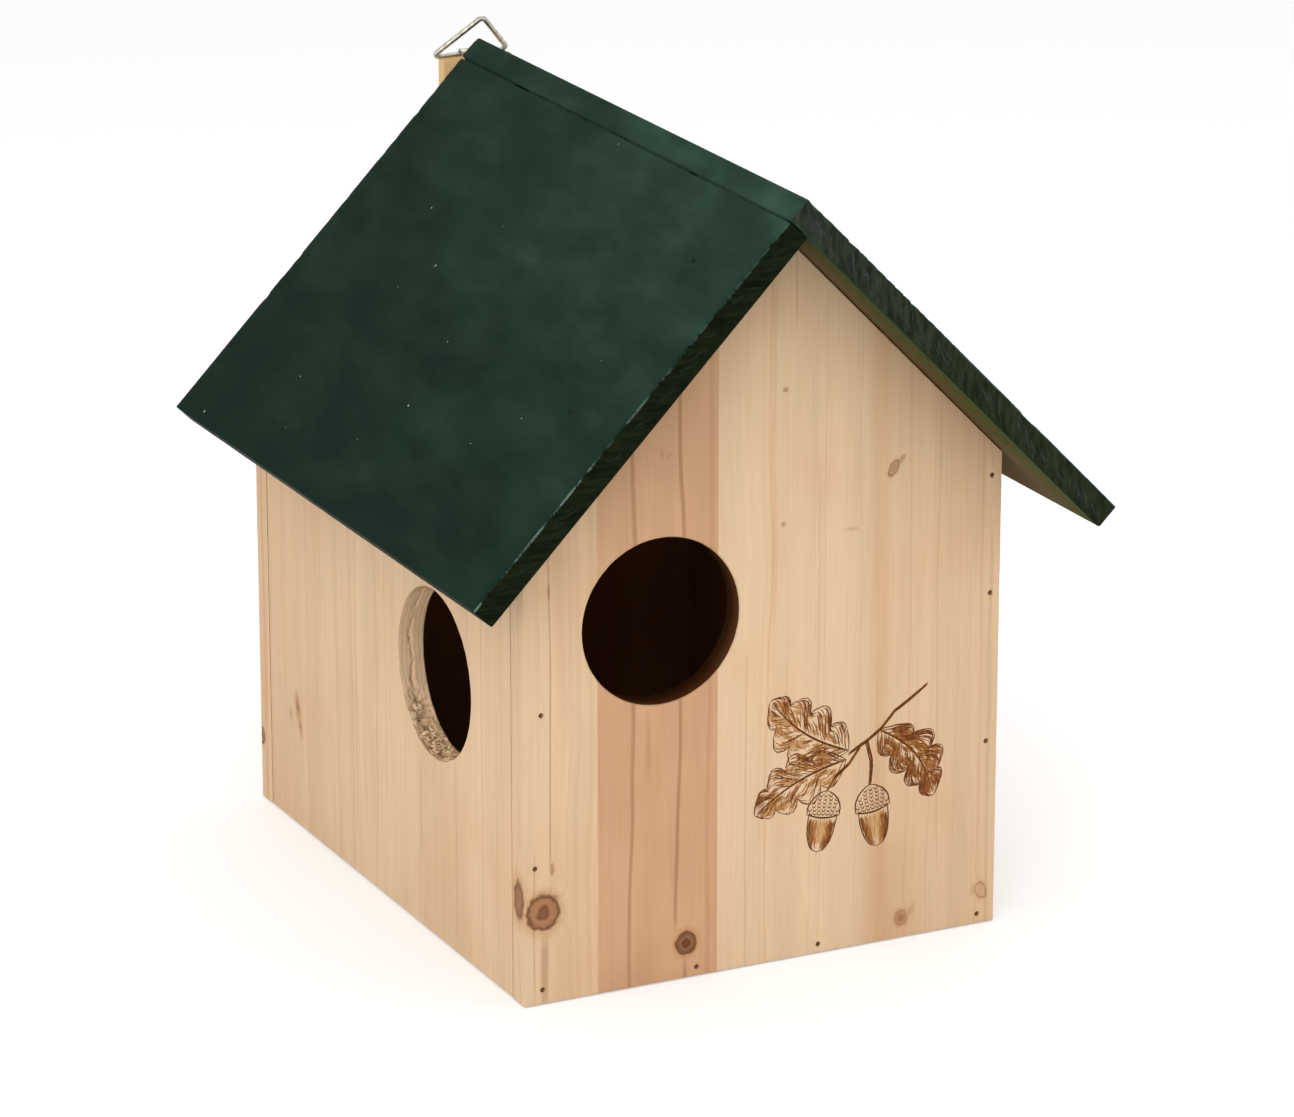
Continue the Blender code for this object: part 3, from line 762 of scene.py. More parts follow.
def paintMaterial(name, greyEnd, sawScale):
    # greyEnd is how grey the end grain is; sawScale is in waves per metre along X, Y and Z
    look, frontEdge, backEdge = paintLook, roofFrontY / mm, roofBackY / mm
    material, add = newMaterial(name)
    board, stave = [add("Attribute", attribute_name=label).outputs["Vector"] for label in ("board", "stave")]
    endFace = add("SeparateXYZ", stave).outputs[2]
    down, along, depth = add("SeparateXYZ", board).outputs
    cloud = add("TexNoise", add("VectorMath MULTIPLY", board, (1, 0.6, 1)), 1 / look["cloud"], 3.0, 0.55)
    smearAt = add("VectorMath MULTIPLY", board, (1 / look["smear"], 0.42 / look["smear"], 1 / look["smear"]))
    smear = add("TexNoise", smearAt, 1.0, 4.0, 0.55, {"Distortion": 0.3})
    brushAt = add("VectorMath MULTIPLY", board, (1 / look["brush"], 0.03 / look["brush"], 1 / look["brush"]))
    brush = add("TexNoise", brushAt, 1.0, 3.0)
    grit = add("TexNoise", board, 1.6, 2.0)

    # The coat is lighter towards the ridge and the front: partly a thinner coat, partly painted light and
    # sheen
    slope = add("MapRange", down, 0.0, 175.0, 0.11, -0.16)
    level = add("Math ADD", slope, add("MapRange", along, backEdge, frontEdge, -0.08, 0.07))
    withSmear = add("Math MULTIPLY_ADD", smear, 0.3, add("Math MULTIPLY_ADD", cloud, 0.45, level))
    withBrush = add("Math MULTIPLY_ADD", brush, 0.05, withSmear)
    coat = add("ValToRGB", withBrush, stops=[
        (0.24, look["deep"]), (0.42, look["mid"]), (0.53, look["light"]), (0.68, look["pale"])])

    # End grain with saw marks, greyed by thin paint on the board that faces the light;
    # arrises along the front made paler, partly rubbed paint and partly a painted highlight; darker along the
    # back edge and the ridge
    sawAt = add("VectorMath MULTIPLY", add("TexCoord").outputs["Object"], sawScale)
    sawn = add("MapRange", add("TexNoise", sawAt, 1.0, 4.0, 0.6), 0.38, 0.72)
    endTone = add("Mix RGBA", sawn, look["endGrain"], look["endLight"])
    greyed = add("MapRange SMOOTHSTEP", down, 0.0, 110.0, greyEnd, 0.62 * greyEnd)
    greyAt = add("Math MULTIPLY", greyed, add("Math MULTIPLY_ADD", sawn, 0.55, 0.24))
    endTone = add("Mix RGBA", greyAt, endTone, add("Mix RGBA", greyed, look["oliveEnd"], look["greyEnd"]))
    tint = add("Mix RGBA", endFace, coat, endTone)
    nearFront = add("MapRange SMOOTHSTEP", add("Math SUBTRACT", along, frontEdge), 0.3, 1.0, 1.0, 0.0)
    onTop = add("MapRange SMOOTHSTEP", depth, 0.25, 0.7, 1.0, 0.0)
    rubbed = add("MapRange SMOOTHSTEP", add("Math MULTIPLY_ADD", grit, 0.5, smear), 0.6, 0.8)
    lowerDown = add("MapRange SMOOTHSTEP", down, 60.0, 120.0, 0.15, 0.85)
    worn = nearFront
    for part in (onTop, rubbed, lowerDown):
        worn = add("Math MULTIPLY", worn, part)
    # Painted highlight mixed with rubbed paint on the top of the front arris
    tint = add("Mix RGBA", worn, tint, look["worn"])
    # Darker along the back edge and close to the ridge
    fromBack = add("Math SUBTRACT", backEdge, along)
    fromRidge = add("Math MINIMUM", fromBack, add("Math MULTIPLY_ADD", depth, 4.0, down))
    tint = add("Mix RGBA", add("MapRange SMOOTHSTEP", fromRidge, 0.3, 1.5, 0.85, 0.0), tint, look["darkBackAndRidge"])

    bump = add("Bump", 0.45, 0.00012, {"Height": add("Math MULTIPLY_ADD", grit, 0.35, brush)})
    gloss = add("MapRange", smear, 0.3, 0.7, 0.66, 0.5)
    add("OutputMaterial", add("BsdfPrincipled", {
        "Base Color": tint, "Roughness": gloss, "IOR": 1.5, "Normal": bump, "Specular IOR Level": 0.03}))
    return material


roofLook = {
    "cellDown": 1.1 * mm,   # grid that the coat's waviness is made on
    "cellAlong": 2.6 * mm,
    "round": 0.75 * mm,     # paint-filled arris
    "roundSteps": 3,
    "sideSteps": 4,
    "wave": 0.10 * mm,      # slow waviness of the board
    "brushWave": 0.030 * mm,
    "sideStray": 0.14 * mm,
    "chewed": 1.9 * mm,     # how deep the front arris is chewed by the saw
    "chewedBack": 0.7 * mm,
    "dent": 0.12 * mm,      # how deep the paint dips over a nail
    "dentWide": 1.7 * mm,
    "joint": 16 * mm,       # how far the paint ran down into the ridge joint
    "tooth": 4.7,           # mm between the notches high on the front arris
}


def slabMesh(name, start, end, place, staves, dimples, seed):
    # A painted board, down the slope from start to end, with all its edges rounded over
    look = roofLook
    r, thick = look["round"], boardThick

    def gridLines(low, high, cell):
        count = round((high - low) / cell)
        return [low + r + (high - low - 2 * r) * i / count for i in range(count + 1)]

    downs = gridLines(start, end, look["cellDown"])
    alongs = gridLines(roofFrontY, roofBackY, look["cellAlong"])

    def lift(s, y):
        at = Vector((s, y, seed)) / mm
        wave = noise(Vector((at.x / 34, at.y / 55, seed))) * look["wave"]
        wave += noise(Vector((at.x / 5, at.y / 60, seed + 5))) * look["brushWave"]
        for spotS, spotY in dimples:
            far = hypot(s - spotS, y - spotY) / look["dentWide"]
            wave -= look["dent"] * exp(-far * far)
        return wave

    def bite(s, y, depth):
        # How far the saw chewed the arris of an end face back
        at = Vector((s, y, seed)) / mm
        rough = max(0.0, noise(at / 9) + 0.55 * noise(at / 3.2) - 0.02)
        teeth = max(0.0, sin(2 * pi * at.x / look["tooth"] + 3 * noise(at / 14))) ** 2
        teeth *= max(0.0, 1 - abs(at.x - 48) / 40) ** 0.5 if y < 0 else 0
        share = min(1.0, 2.6 * rough * rough + 0.6 * rough + 0.85 * teeth)
        return look["chewed" if y < 0 else "chewedBack"] * share * exp(-(depth / (1.5 * mm)) ** 2)

    shape = bmesh.new()
    lastS, lastY = len(downs) - 1, len(alongs) - 1
    inwards = {0: 1, lastY: -1}
    top = [[shape.verts.new((s, y + inwards.get(j, 0) * bite(s, y, 0), -lift(s, y)))
            for j, y in enumerate(alongs)] for s in downs]
    under = [[shape.verts.new((s, y, thick)) for y in alongs] for s in downs]
    border = [(i, 0) for i in range(lastS)] + [(lastS, j) for j in range(lastY)]
    border += [(i, lastY) for i in range(lastS, 0, -1)] + [(0, j) for j in range(lastY, 0, -1)]
    turns = [pi / 2 * k / look["roundSteps"] for k in range(look["roundSteps"] + 1)]
    steps = look["sideSteps"]
    profile = [(r * sin(turn), r * (1 - cos(turn))) for turn in turns[1:]]
    profile += [(r, r + (thick - 2 * r) * k / steps) for k in range(1, steps)]
    profile += [(r * cos(turn), thick - r * (1 - sin(turn))) for turn in turns[:-1]]
    rings = [[top[i][j] for i, j in border]]
    for outset, depth in profile:
        ring = []
        for i, j in border:
            ds = -1 if i == 0 else 1 if i == lastS else 0
            dy = -1 if j == 0 else 1 if j == lastY else 0
            at = Vector((downs[i], alongs[j], depth))
            stray = look["sideStray"] * (noise(at / (4 * mm)) * 0.5 - 0.5)
            reach = outset + stray * min(1, depth / r)
            endReach = reach - (bite(downs[i], alongs[j], depth) if dy else 0)
            ring.append(shape.verts.new((downs[i] + ds * reach, alongs[j] + dy * endReach, depth)))
        rings.append(ring)
    rings.append([under[i][j] for i, j in border])
    for grid in (top, under):
        for i in range(lastS):
            for j in range(lastY):
                shape.faces.new((grid[i][j], grid[i + 1][j], grid[i + 1][j + 1], grid[i][j + 1]))
    wall(shape, rings)
    mesh = putInPlace(plainMesh(name, shape), staves, place)
    mesh.shade_smooth()
    return mesh


def roofOut(sign):
    return Vector((sign * sin(pitch), 0, cos(pitch)))


def roofPlace(sign):
    return placeMatrix((0, 0, ridgeZ), (sign * cos(pitch), 0, -sin(pitch)), yWay, -roofOut(sign))


roofStaves = {
    "left": [
        (0, 0.5, 60, 44), (62, 0.2, 90, -50), (122, 0.6, 150, 40)],
    "right": [
        (0, 0.3, 30, -46), (70, 0.7, 96, 40), (130, 0.3, 150, -44)],
}
roofEnds = {"left": (9.93 * mm, 176.8 * mm), "right": (0.0, 174.0 * mm)}  # down the slope from the ridge
greenPaint = paintMaterial("thinGreenPaintOnFir", 0.0, (70, 400, 480))
weatherPaint = paintMaterial("thinGreenPaintRightBoard", 0.95, (480, 400, 110))
underLook = {
    "knots": [
        (60.0, -60.0, 4.0, 5.0, 0.7),
        (120.0, 40.0, 5.0, 6.0, 0.72),
        (38.0, 88.0, 2.4, 3.0, 0.55),
    ],
    "bleed": {"edge": roofFrontY / mm, "reach": 24.0, "colour": "#5c6634", "dark": "#2d341f"},
}
# Bare underside, painted dark and greyish as painted shade under the roof; the olive bleed is real paint
underRoofShade = firMaterial("sawnFirUnderRoof", underLook["knots"], (), shade=0.30, roughness=0.8,
                       bleed=underLook["bleed"], hue="#d0dac2")
for side, sign in (("left", -1), ("right", 1)):
    start, end = roofEnds[side]
    words = (f"roof_front_{side}", f"roof_back_{side}") + ("ridge_nail",) * (sign > 0)
    mesh = slabMesh(side + "RoofBoard", start, end, roofPlace(sign), roofStaves[side],
                    placesOf(roofPlace(sign), words), seed=3.0 + sign)
    # The underside is bare only below the ridge joint
    addPiece(side + "RoofBoard", mesh, [greenPaint if sign < 0 else weatherPaint, underRoofShade],
             [side + "_roof_board"],
             lambda c, n: 1 if n.dot(-roofOut(sign)) > 0.97 and c.z < ridgeZ - roofLook["joint"] else 0)

# Pins, screws and specks: one tree sets a template on every point, facing its way
print("fasteners")
setTree, add, given = newTree("setOnPoints", [
    ("Template", "Object", None), ("Size", "Float", 1.0), ("Lean", "Float", 0.0), ("Turn", "Float", pi),
    ("Seed", "Int", 1)])
shape = add("GeometryNodeObjectInfo", given["Template"])
facing = add("GeometryNodeInputNamedAttribute FLOAT_VECTOR", "facing")
outwards = add("FunctionNodeAlignRotationToVector", {"Vector": facing}, axis="Z")
lie = add("GeometryNodeInputNamedAttribute FLOAT_VECTOR", "lie")
turned = add("FunctionNodeAlignRotationToVector", outwards, {"Vector": lie}, axis="X", pivot_axis="Z")
leanHigh = add("CombineXYZ", given["Lean"], given["Lean"], given["Turn"])
leanLow = add("VectorMath SCALE", leanHigh, -1.0)
leanBy = add("FunctionNodeRandomValue FLOAT_VECTOR", leanLow, leanHigh, {"Seed": given["Seed"]})
leaned = add("FunctionNodeEulerToRotation", leanBy)
pointing = add("FunctionNodeRotateRotation", turned, leaned, rotation_space="LOCAL")
sized = add("Math MULTIPLY", given["Size"], add("GeometryNodeInputNamedAttribute FLOAT", "size"))
copies = add(
    "GeometryNodeInstanceOnPoints", given["Geometry"],
    {"Instance": shape.outputs["Geometry"], "Rotation": pointing, "Scale": sized})
endTree(add, copies, given["Finish"])


def addCopies(name, template, spots, facings, finish, slotName, replaced=(), lies=None, sizes=None,
              **values):
    # A piece of copies of a template mesh on the spots; values are the tree's other inputs
    cloud = bpy.data.meshes.new(name + "Points")
    cloud.from_pydata([tuple(s) for s in spots], [], [])
    store(cloud, "facing", "FLOAT_VECTOR", facings)
    store(cloud, "lie", "FLOAT_VECTOR", lies or [(0, 0, 0)] * len(spots))
    store(cloud, "size", "FLOAT", sizes or [1.0] * len(spots))
    holder = addObject(name + "Template", template)
    mesh = grow(name, setTree, cloud, {"Template": holder, "Finish": finish, **values})
    bpy.data.objects.remove(holder, do_unlink=True)
    addPiece(name, smooth(mesh, 35), [finish], replaced)


def sliver(name, look, bend, seed):
    # A ragged, slightly bent spindle lying along X, pointed at both ends
    shape = bmesh.new()
    sides, steps = 7, 8
    tips = [shape.verts.new((look["long"] * end, 0, 0)) for end in (-0.5, 0.5)]
    rings = []
    for k in range(1, steps):
        share = k / steps
        girth = sin(pi * share) ** 0.7
        bow = bend * (4 * share * (1 - share) - 0.5)
        ring = []
        for i in range(sides):
            angle = 2 * pi * i / sides
            worn = noise(Vector((share * 6, cos(angle), sin(angle) + seed)))
            ragged = girth * (1 + 0.35 * worn)
            ring.append(shape.verts.new((
                (share - 0.5) * look["long"], ragged * look["wide"] / 2 * cos(angle) + bow,
                ragged * look["high"] / 2 * sin(angle))))
        rings.append(ring)
    wall(shape, rings)
    for i in range(sides):
        j = (i + 1) % sides
        shape.faces.new((tips[0], rings[0][j], rings[0][i]))
        shape.faces.new((tips[1], rings[-1][i], rings[-1][j]))
    return plainMesh(name, shape)


# Zinc-plated steel: bright but soft, faintly yellow, with darker drawn marks
zincLook = {"bright": "#c9c6b8", "dull": "#8f8c80", "grain": 0.5}


def zincMaterial(name, look):
    material, add = newMaterial(name)
    inMm = add("VectorMath SCALE", add("TexCoord").outputs["Object"], 1000)
    mottle = add("TexNoise", inMm, look["grain"], 4.0, 0.65)
    tint = add("ValToRGB", mottle, stops=[(0.36, look["dull"]), (0.6, look["bright"])])
    rough = add("MapRange", mottle, 0.3, 0.7, 0.42, 0.24)
    bump = add("Bump", 0.2, 5e-05, {"Height": mottle})
    shader = add("BsdfPrincipled", {"Base Color": tint, "Metallic": 1.0, "Roughness": rough, "Normal": bump})
    add("OutputMaterial", shader)
    return material


zincPlate = zincMaterial("zincPlatedSteel", zincLook)
# Steel pins go dark brown where the wood has stained them
pinSteel = zincMaterial("stainedSteelPin", {"bright": "#7a573a", "dull": "#38230f", "grain": 1.8})

pinLook = {  # in mm
    "head": 0.80, "shank": 0.60, "headThick": 0.5, "sunk": 0.22, "long": 21.5,
    "packed": 22,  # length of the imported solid
}
pinHead, pinShank, pinTop = pinLook["head"], pinLook["shank"], -pinLook["sunk"]
pinUnder = pinTop - pinLook["headThick"]
pinProfile = [
    (0, pinTop - 0.08), (0.30, pinTop - 0.05), (0.52, pinTop),
    (pinHead - 0.1, pinTop), (pinHead, pinTop - 0.12), (pinHead, pinUnder),
    (pinShank, pinUnder - 0.3),
    (pinShank, 1.8 - pinLook["long"]), (0, -pinLook["long"])]


def headOf(node):
    # A pin's head on the surface, and the way it faces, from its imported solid
    middle = middleOf(node)
    if node.startswith(("front_", "back_")):
        out = -yWay if node.startswith("front_") else yWay
        return Vector((middle.x, frontY if out.y < 0 else backY, middle.z)), out
    out = roofOut(-1 if "_left_" in node else 1)
    return middle + out * (pinLook["packed"] * mm) / 2, out


for name, words, finish in (
        ("wallPins", ("front_", "back_"), pinSteel), ("roofPins", ("roof_", "ridge_"), greenPaint)):
    nodes = sorted(n for n in frame["nodes"] if "nail" in n and n.startswith(words))
    heads, facings = zip(*[headOf(n) for n in nodes])
    addCopies(name, lathe(name + "Template", pinProfile, 12), heads, facings, finish, "steel_pin", nodes,
              Lean=0.03, Seed=11)

# Burnt design: an oak sprig in fine lines. Each stroke is a chain of edges in the front's plane
# (x, z in mm) with its width and how dark it burnt; a tree makes tubes of them, pressed flat.
strokeTree, add, given = newTree("burntStrokes", [("Face", "Float", 0.0), ("Proud", "Float", 0.0001)])
line = add("GeometryNodeMeshToCurve", given["Geometry"])
section = add("GeometryNodeCurvePrimitiveCircle", 6, 0.5)
width = add("GeometryNodeInputNamedAttribute FLOAT", "width")
burn = add("GeometryNodeInputNamedAttribute FLOAT", "burn")
tubes = add("GeometryNodeCurveToMesh", line, section, width, True)
hereX, hereY, hereZ = add("SeparateXYZ", add("GeometryNodeInputPosition")).outputs
roundness = add("Math DIVIDE", add("Math SUBTRACT", hereY, given["Face"]), width)
high = add("Math MULTIPLY", add("Math MULTIPLY_ADD", burn, 1.6, 0.4), given["Proud"])
there = add("CombineXYZ", hereX, add("Math MULTIPLY_ADD", roundness, high, given["Face"]), hereZ)
endTree(add, add("GeometryNodeSetPosition", tubes, {"Position": there}), given["Finish"])

sprigLook = {
    "leaves": [  # half is the half width, dark the share of the blade that is shaded
        {"base": (33, 74), "tip": (2, 97), "half": 12.0, "bend": 3.0, "dark": 0.50, "strokes": 280},
        {"base": (32, 71), "tip": (-4, 56), "half": 10.5, "bend": -2.5, "dark": 0.62, "strokes": 260},
        {"base": (45, 80), "tip": (67, 52), "half": 10.5, "bend": 4.5, "dark": 0.97, "strokes": 420},
    ],
    "lobes": 4,
    "acorns": [
        {"at": (24.5, 60.5), "lean": -10.0, "wide": 13.0, "high": 23.5, "strokes": 130},
        {"at": (41.5, 60.0), "lean": 8.0, "wide": 13.5, "high": 24.5, "strokes": 150},
    ],
    "twigs": [
        [(64, 94), (57, 89.5), (51, 86), (46, 80.5), (40, 76.5), (33, 73)],
        [(38, 75.5), (33, 69), (27.5, 65), (24.5, 60.5)], [(40, 76.5), (42, 69), (42, 64), (41.5, 60)],
    ],
    "outline": 0.50, "hatch": 0.36, "toast": 2.2, "seed": 14,
}
outline, hatch, toast, lobes = (sprigLook[key] for key in ("outline", "hatch", "toast", "lobes"))
chance = random.Random(sprigLook["seed"])
strokes = []


def burnLine(points, wide, dark, taper=0.6):
    strokes.append(([Vector(p) for p in points], wide, dark, taper))


def shaky(points, by):
    return [Vector(p) + Vector((chance.uniform(-by, by), chance.uniform(-by, by))) for p in points]


def drawLeaf(leaf):
    base, tip = Vector(leaf["base"]), Vector(leaf["tip"])
    axis = tip - base
    across = Vector((-axis.y, axis.x)).normalized()

    def place(t, side):
        # side runs from -1 to 1 between the blade's edges; lobes lean towards the tip
        body = sin(pi * min(1.0, max(0.0, t)) ** 0.8) ** 0.7
        lobe = 0.56 + 0.44 * abs(sin(pi * lobes * t)) ** 0.7
        reach = leaf["half"] * body * lobe
        middle = base + axis * (t + 0.07 * abs(side) * body) + across * leaf["bend"] * sin(pi * t)
        return middle + across * side * reach

    for side in (-1, 1):
        edge = shaky([place(i / 60, side) for i in range(61)], 0.10)
        for first in range(0, 60, 6):
            burnLine(edge[first:first + 7 + chance.randint(0, 1)],
                     outline * chance.uniform(0.8, 1.35), chance.uniform(0.75, 1.0), 0.35)
        for n in range(lobes):
            t = (n + 0.45) / lobes
            vein = [place(t - 0.10 + 0.12 * k / 6, side * 0.92 * k / 6) for k in range(7)]
            burnLine(shaky(vein, 0.06), outline * 0.9, 0.8, 0.8)
    for by in (-0.22, 0.22):
        burnLine([place(i / 24 * 0.97, 0) + across * by * (1 - i / 24) for i in range(25)],
                 outline * 1.2, 0.95, 0.3)
    for n in range(leaf["strokes"] // 4):
        t, side = chance.uniform(0.08, 0.85), chance.uniform(-0.7, 0.7)
        burnLine([place(t, side), place(t + 0.05, side * 1.1), place(t + 0.1, side * 1.15)],
                 toast * chance.uniform(0.7, 1.2), chance.uniform(0.0, 0.25) + 0.35 * leaf["dark"] ** 2)
    for n in range(leaf["strokes"]):
        t, side = chance.uniform(0.05, 0.9), chance.uniform(-0.95, 0.95)
        shaded = side < 2 * leaf["dark"] - 1 or abs(side) < 0.25
        if not shaded and chance.random() < 0.55:
            continue
        reach = chance.uniform(0.2, 0.5) * (1 if side > 0 else -1)
        outer = max(-0.95, min(0.95, side + reach))
        burnLine([place(t + 0.08 * k / 3, side + (outer - side) * k / 3) for k in range(4)],
                 hatch * chance.uniform(0.7, 1.5), chance.uniform(*((0.5, 1.0) if shaded else (0.3, 0.7))))


def drawAcorn(acorn):
    turn = Matrix.Rotation(radians(acorn["lean"]), 2)
    wide, high = acorn["wide"] / 2, acorn["high"]

    def place(x, y):
        # x from -1 to 1 across, y from 0 at the stem to 1 at the point
        return Vector(acorn["at"]) + turn @ Vector((x * wide, -y * high))

    def onNut(x, y):
        # x as a share of the nut's half width there
        return place(x * (0.86 * sqrt(max(0.0, 1 - ((y - 0.42) / 0.54) ** 2)) ** 0.85), y)

    for side in (-1, 1):
        nut = [onNut(side, 0.36 + 0.60 * k / 20) for k in range(21)]
        burnLine(shaky(nut, 0.05), outline * 1.2, 0.95, 0.3)
        cup = [place(side * sin(pi / 2 * min(1, k / 14)) ** 0.6, 0.38 * k / 18) for k in range(19)]
        burnLine(shaky(cup, 0.08), outline * 1.3, 1.0, 0.3)
    burnLine([place(-0.98 + 1.96 * k / 12, 0.38 + 0.045 * sin(pi * k / 12)) for k in range(13)],
             outline * 1.5, 1.0, 0.3)
    burnLine([place(0, 0.95), place(0, 1.04)], 0.8, 1.0, 0.8)
    for n in range(10):
        x = -0.75 + 0.16 * n
        burnLine([onNut(x, 0.44 + 0.1 * k) for k in range(5)], toast * 0.7, 0.10 + 0.22 * abs(x))
    for n in range(acorn["strokes"]):
        x = chance.choice((-1, 1, 1)) * chance.uniform(0.15, 1.0) ** 0.6 * 0.92
        start = chance.uniform(0.44, 0.78)
        last = min(0.93, start + chance.uniform(0.08, 0.24))
        burnLine([onNut(x, start + (last - start) * k / 4) for k in range(5)],
                 hatch * chance.uniform(0.7, 1.4), 0.35 + 0.6 * abs(x) ** 2)
    for row in range(6):
        y, count = 0.05 + 0.058 * row, 3 + row
        span = sin(pi / 2 * min(1, y / 0.30)) ** 0.6
        for n in range(count):
            x = span * ((n + 0.5 + 0.5 * (row % 2)) / count * 2 - 1)
            if abs(x) < 0.95:
                scale = [(x - 0.12, y), (x - 0.05, y + 0.04), (x + 0.05, y + 0.04), (x + 0.12, y)]
                burnLine([place(*at) for at in scale], outline * 1.1, chance.uniform(0.75, 1.0), 0.5)
                burnLine([place(x - 0.07, y - 0.01), place(x + 0.07, y - 0.01)],
                         0.9, chance.uniform(0.2, 0.5))


for twig in sprigLook["twigs"]:
    fine = []
    for a, b in zip(twig, twig[1:]):
        fine += [Vector(a).lerp(Vector(b), k / 4) for k in range(4)]
    fine.append(Vector(twig[-1]))
    burnLine(shaky(fine, 0.1), 1.5, 0.35, 0.15)
    for by in (-0.6, 0.0, 0.55):
        burnLine(shaky([q + Vector((by * 0.7, by)) for q in fine], 0.14), outline * 1.2, 0.95, 0.3)
for leaf in sprigLook["leaves"]:
    drawLeaf(leaf)
for acorn in sprigLook["acorns"]:
    drawAcorn(acorn)

points, edges, widths, burns = [], [], [], []
for line, wide, dark, taper in strokes:
    first, last = len(points), len(line) - 1
    for i, at in enumerate(line):
        points.append((at.x * mm, frontY, at.y * mm))
        widths.append(wide * mm * max(0.0, sin(pi * (i / last * 0.96 + 0.02))) ** taper)
        burns.append(dark)
    edges += [(first + i, first + i + 1) for i in range(last)]
strokeMesh = bpy.data.meshes.new("sprigLines")
strokeMesh.from_pydata(points, edges, [])
store(strokeMesh, "width", "FLOAT", widths)
store(strokeMesh, "burn", "FLOAT", burns)

# Scorched fir: toast to dark brown by how long the hot point stayed, matte
burntFir, add = newMaterial("scorchedFirLines")
burnt = add("Attribute", attribute_name="burn").outputs["Fac"]
inMm = add("VectorMath MULTIPLY", add("TexCoord").outputs["Object"], (1300, 1300, 260))
uneven = add("MapRange", add("TexNoise", inMm, 1.0, 3.0), 0.3, 0.7, -0.22, 0.12)
level = add("Math ADD", burnt, uneven)
char = add("ValToRGB", level, stops=[
    (0.0, "#d2a878"), (0.3, "#b27b45"), (0.62, "#854c20"), (1.0, "#502a0e")])
shader = add("BsdfPrincipled", {"Base Color": char, "Roughness": 0.85, "Specular IOR Level": 0.15})
add("OutputMaterial", shader)
sprig = grow("burntSprig", strokeTree, strokeMesh, {"Face": frontY, "Proud": 0.06 * mm, "Finish": burntFir})
sprig.shade_smooth()
print("sprig strokes", len(strokes), "faces", len(sprig.polygons))
addPiece("burntSprig", sprig, [burntFir])

# Saw marks on the roof's front ends: thin raised fibres, level on the left board, upright on the right
print("details")
marksLook = {
    "left": {"lie": (1, 0, 0.22), "count": 52, "colour": "#18261a", "seed": 21},
    "right": {"lie": (-0.25, 0, 1), "count": 90, "colour": "#363c36", "seed": 22},
    "long": 8.5 * mm, "wide": 0.55 * mm, "high": 0.20 * mm, "proud": 0.07 * mm, "sway": 0.32,
}


def plainPaint(name, hexText, roughness):
    # Dried paint too small to show a pattern, only a faint mottle
    material, add = newMaterial(name)
    mottle = add("TexNoise", add("TexCoord").outputs["Object"], 700.0, 2.0)
    tint = add("VectorMath SCALE", colour(hexText)[:3], add("MapRange", mottle, 0.3, 0.7, 0.6, 1.25))
    shader = add("BsdfPrincipled", {"Base Color": tint, "Roughness": roughness, "Specular IOR Level": 0.05})
    add("OutputMaterial", shader)
    return material


for side, sign in (("left", -1), ("right", 1)):
    look = marksLook[side]
    chance = random.Random(look["seed"])
    start, end = roofEnds[side]
    spots, sizes = [], []
    for mark in range(look["count"]):
        size = chance.uniform(0.25, 1.0)
        inset = 0.6 * mm + size * marksLook["long"] * 0.36
        spots.append(roofPlace(sign) @ Vector((
            chance.uniform(start + 5 * mm, end - 5 * mm), roofFrontY + marksLook["proud"],
            chance.uniform(min(inset, 4.6 * mm), max(boardThick - inset, 4.8 * mm)))))
        sizes.append(size)
    addCopies(
        side + "SawMarks", sliver("sawMark", marksLook, 0.4 * mm, 1.0), spots, [-yWay] * len(spots),
        plainPaint(side + "SawMarkPaint", look["colour"], 0.7), "green_painted_fir",
        lies=[look["lie"]] * len(spots), sizes=sizes, Lean=0.01, Turn=marksLook["sway"], Seed=look["seed"])

# Chips of bare, chalky primer on the left board: down the slope, along, size
chipLook = {"long": 1.3 * mm, "wide": 0.8 * mm, "high": 0.26 * mm, "colour": "#aebfb3"}
chipSpots = [
    (172.2, 96.6, 0.9), (82.4, 28.9, 0.8), (142.2, 55.4, 0.6), (160.5, 39.6, 0.6), (113.2, -88.9, 0.55),
    (129.8, -72.4, 0.6), (130.2, -21.1, 0.7), (103.7, -13.8, 0.5), (64.8, 59.4, 0.6), (126.6, 116.2, 0.8),
    (82.2, -106.4, 0.5), (12.5, -19.4, 0.5), (96.0, 41.0, 0.4), (58.0, 8.0, 0.35), (150.0, -8.0, 0.4)]
addCopies(
    "primerChips", sliver("primerChip", chipLook, 0.15 * mm, 4.0),
    [roofPlace(-1) @ Vector((s * mm, y * mm, 0)) for s, y, size in chipSpots], [roofOut(-1)] * len(chipSpots),
    plainPaint("chippedPrimer", chipLook["colour"], 0.8), "green_painted_fir",
    sizes=[size for s, y, size in chipSpots], Lean=0.05, Seed=31)

# Paint that ran into the seam under the ridge: long drops, end to end
seamLook = {
    "long": 11 * mm, "wide": 1.6 * mm, "high": 0.9 * mm, "count": 75, "colour": "#182b20",
    "deeper": 0.55 * mm,  # at the back, where the seam shows more
}
chance = random.Random(9)
spots = []
for drop in range(seamLook["count"]):
    s, y = chance.uniform(9.4, 9.9) * mm, chance.uniform(roofFrontY + 6 * mm, roofBackY - 6 * mm)
    deeper = seamLook["deeper"] * max(0.0, y - roofFrontY) / (roofBackY - roofFrontY)
    spots.append(roofPlace(-1) @ Vector((s, y, chance.uniform(0.45, 0.8) * mm + deeper)))
addCopies(
    "seamPaint", sliver("seamDrop", seamLook, 0.1 * mm, 2.0), spots, [roofOut(-1)] * len(spots),
    plainPaint("seamPaint", seamLook["colour"], 0.6), "green_painted_fir",
    lies=[yWay] * len(spots), Lean=0.01, Turn=0.03, Seed=51)

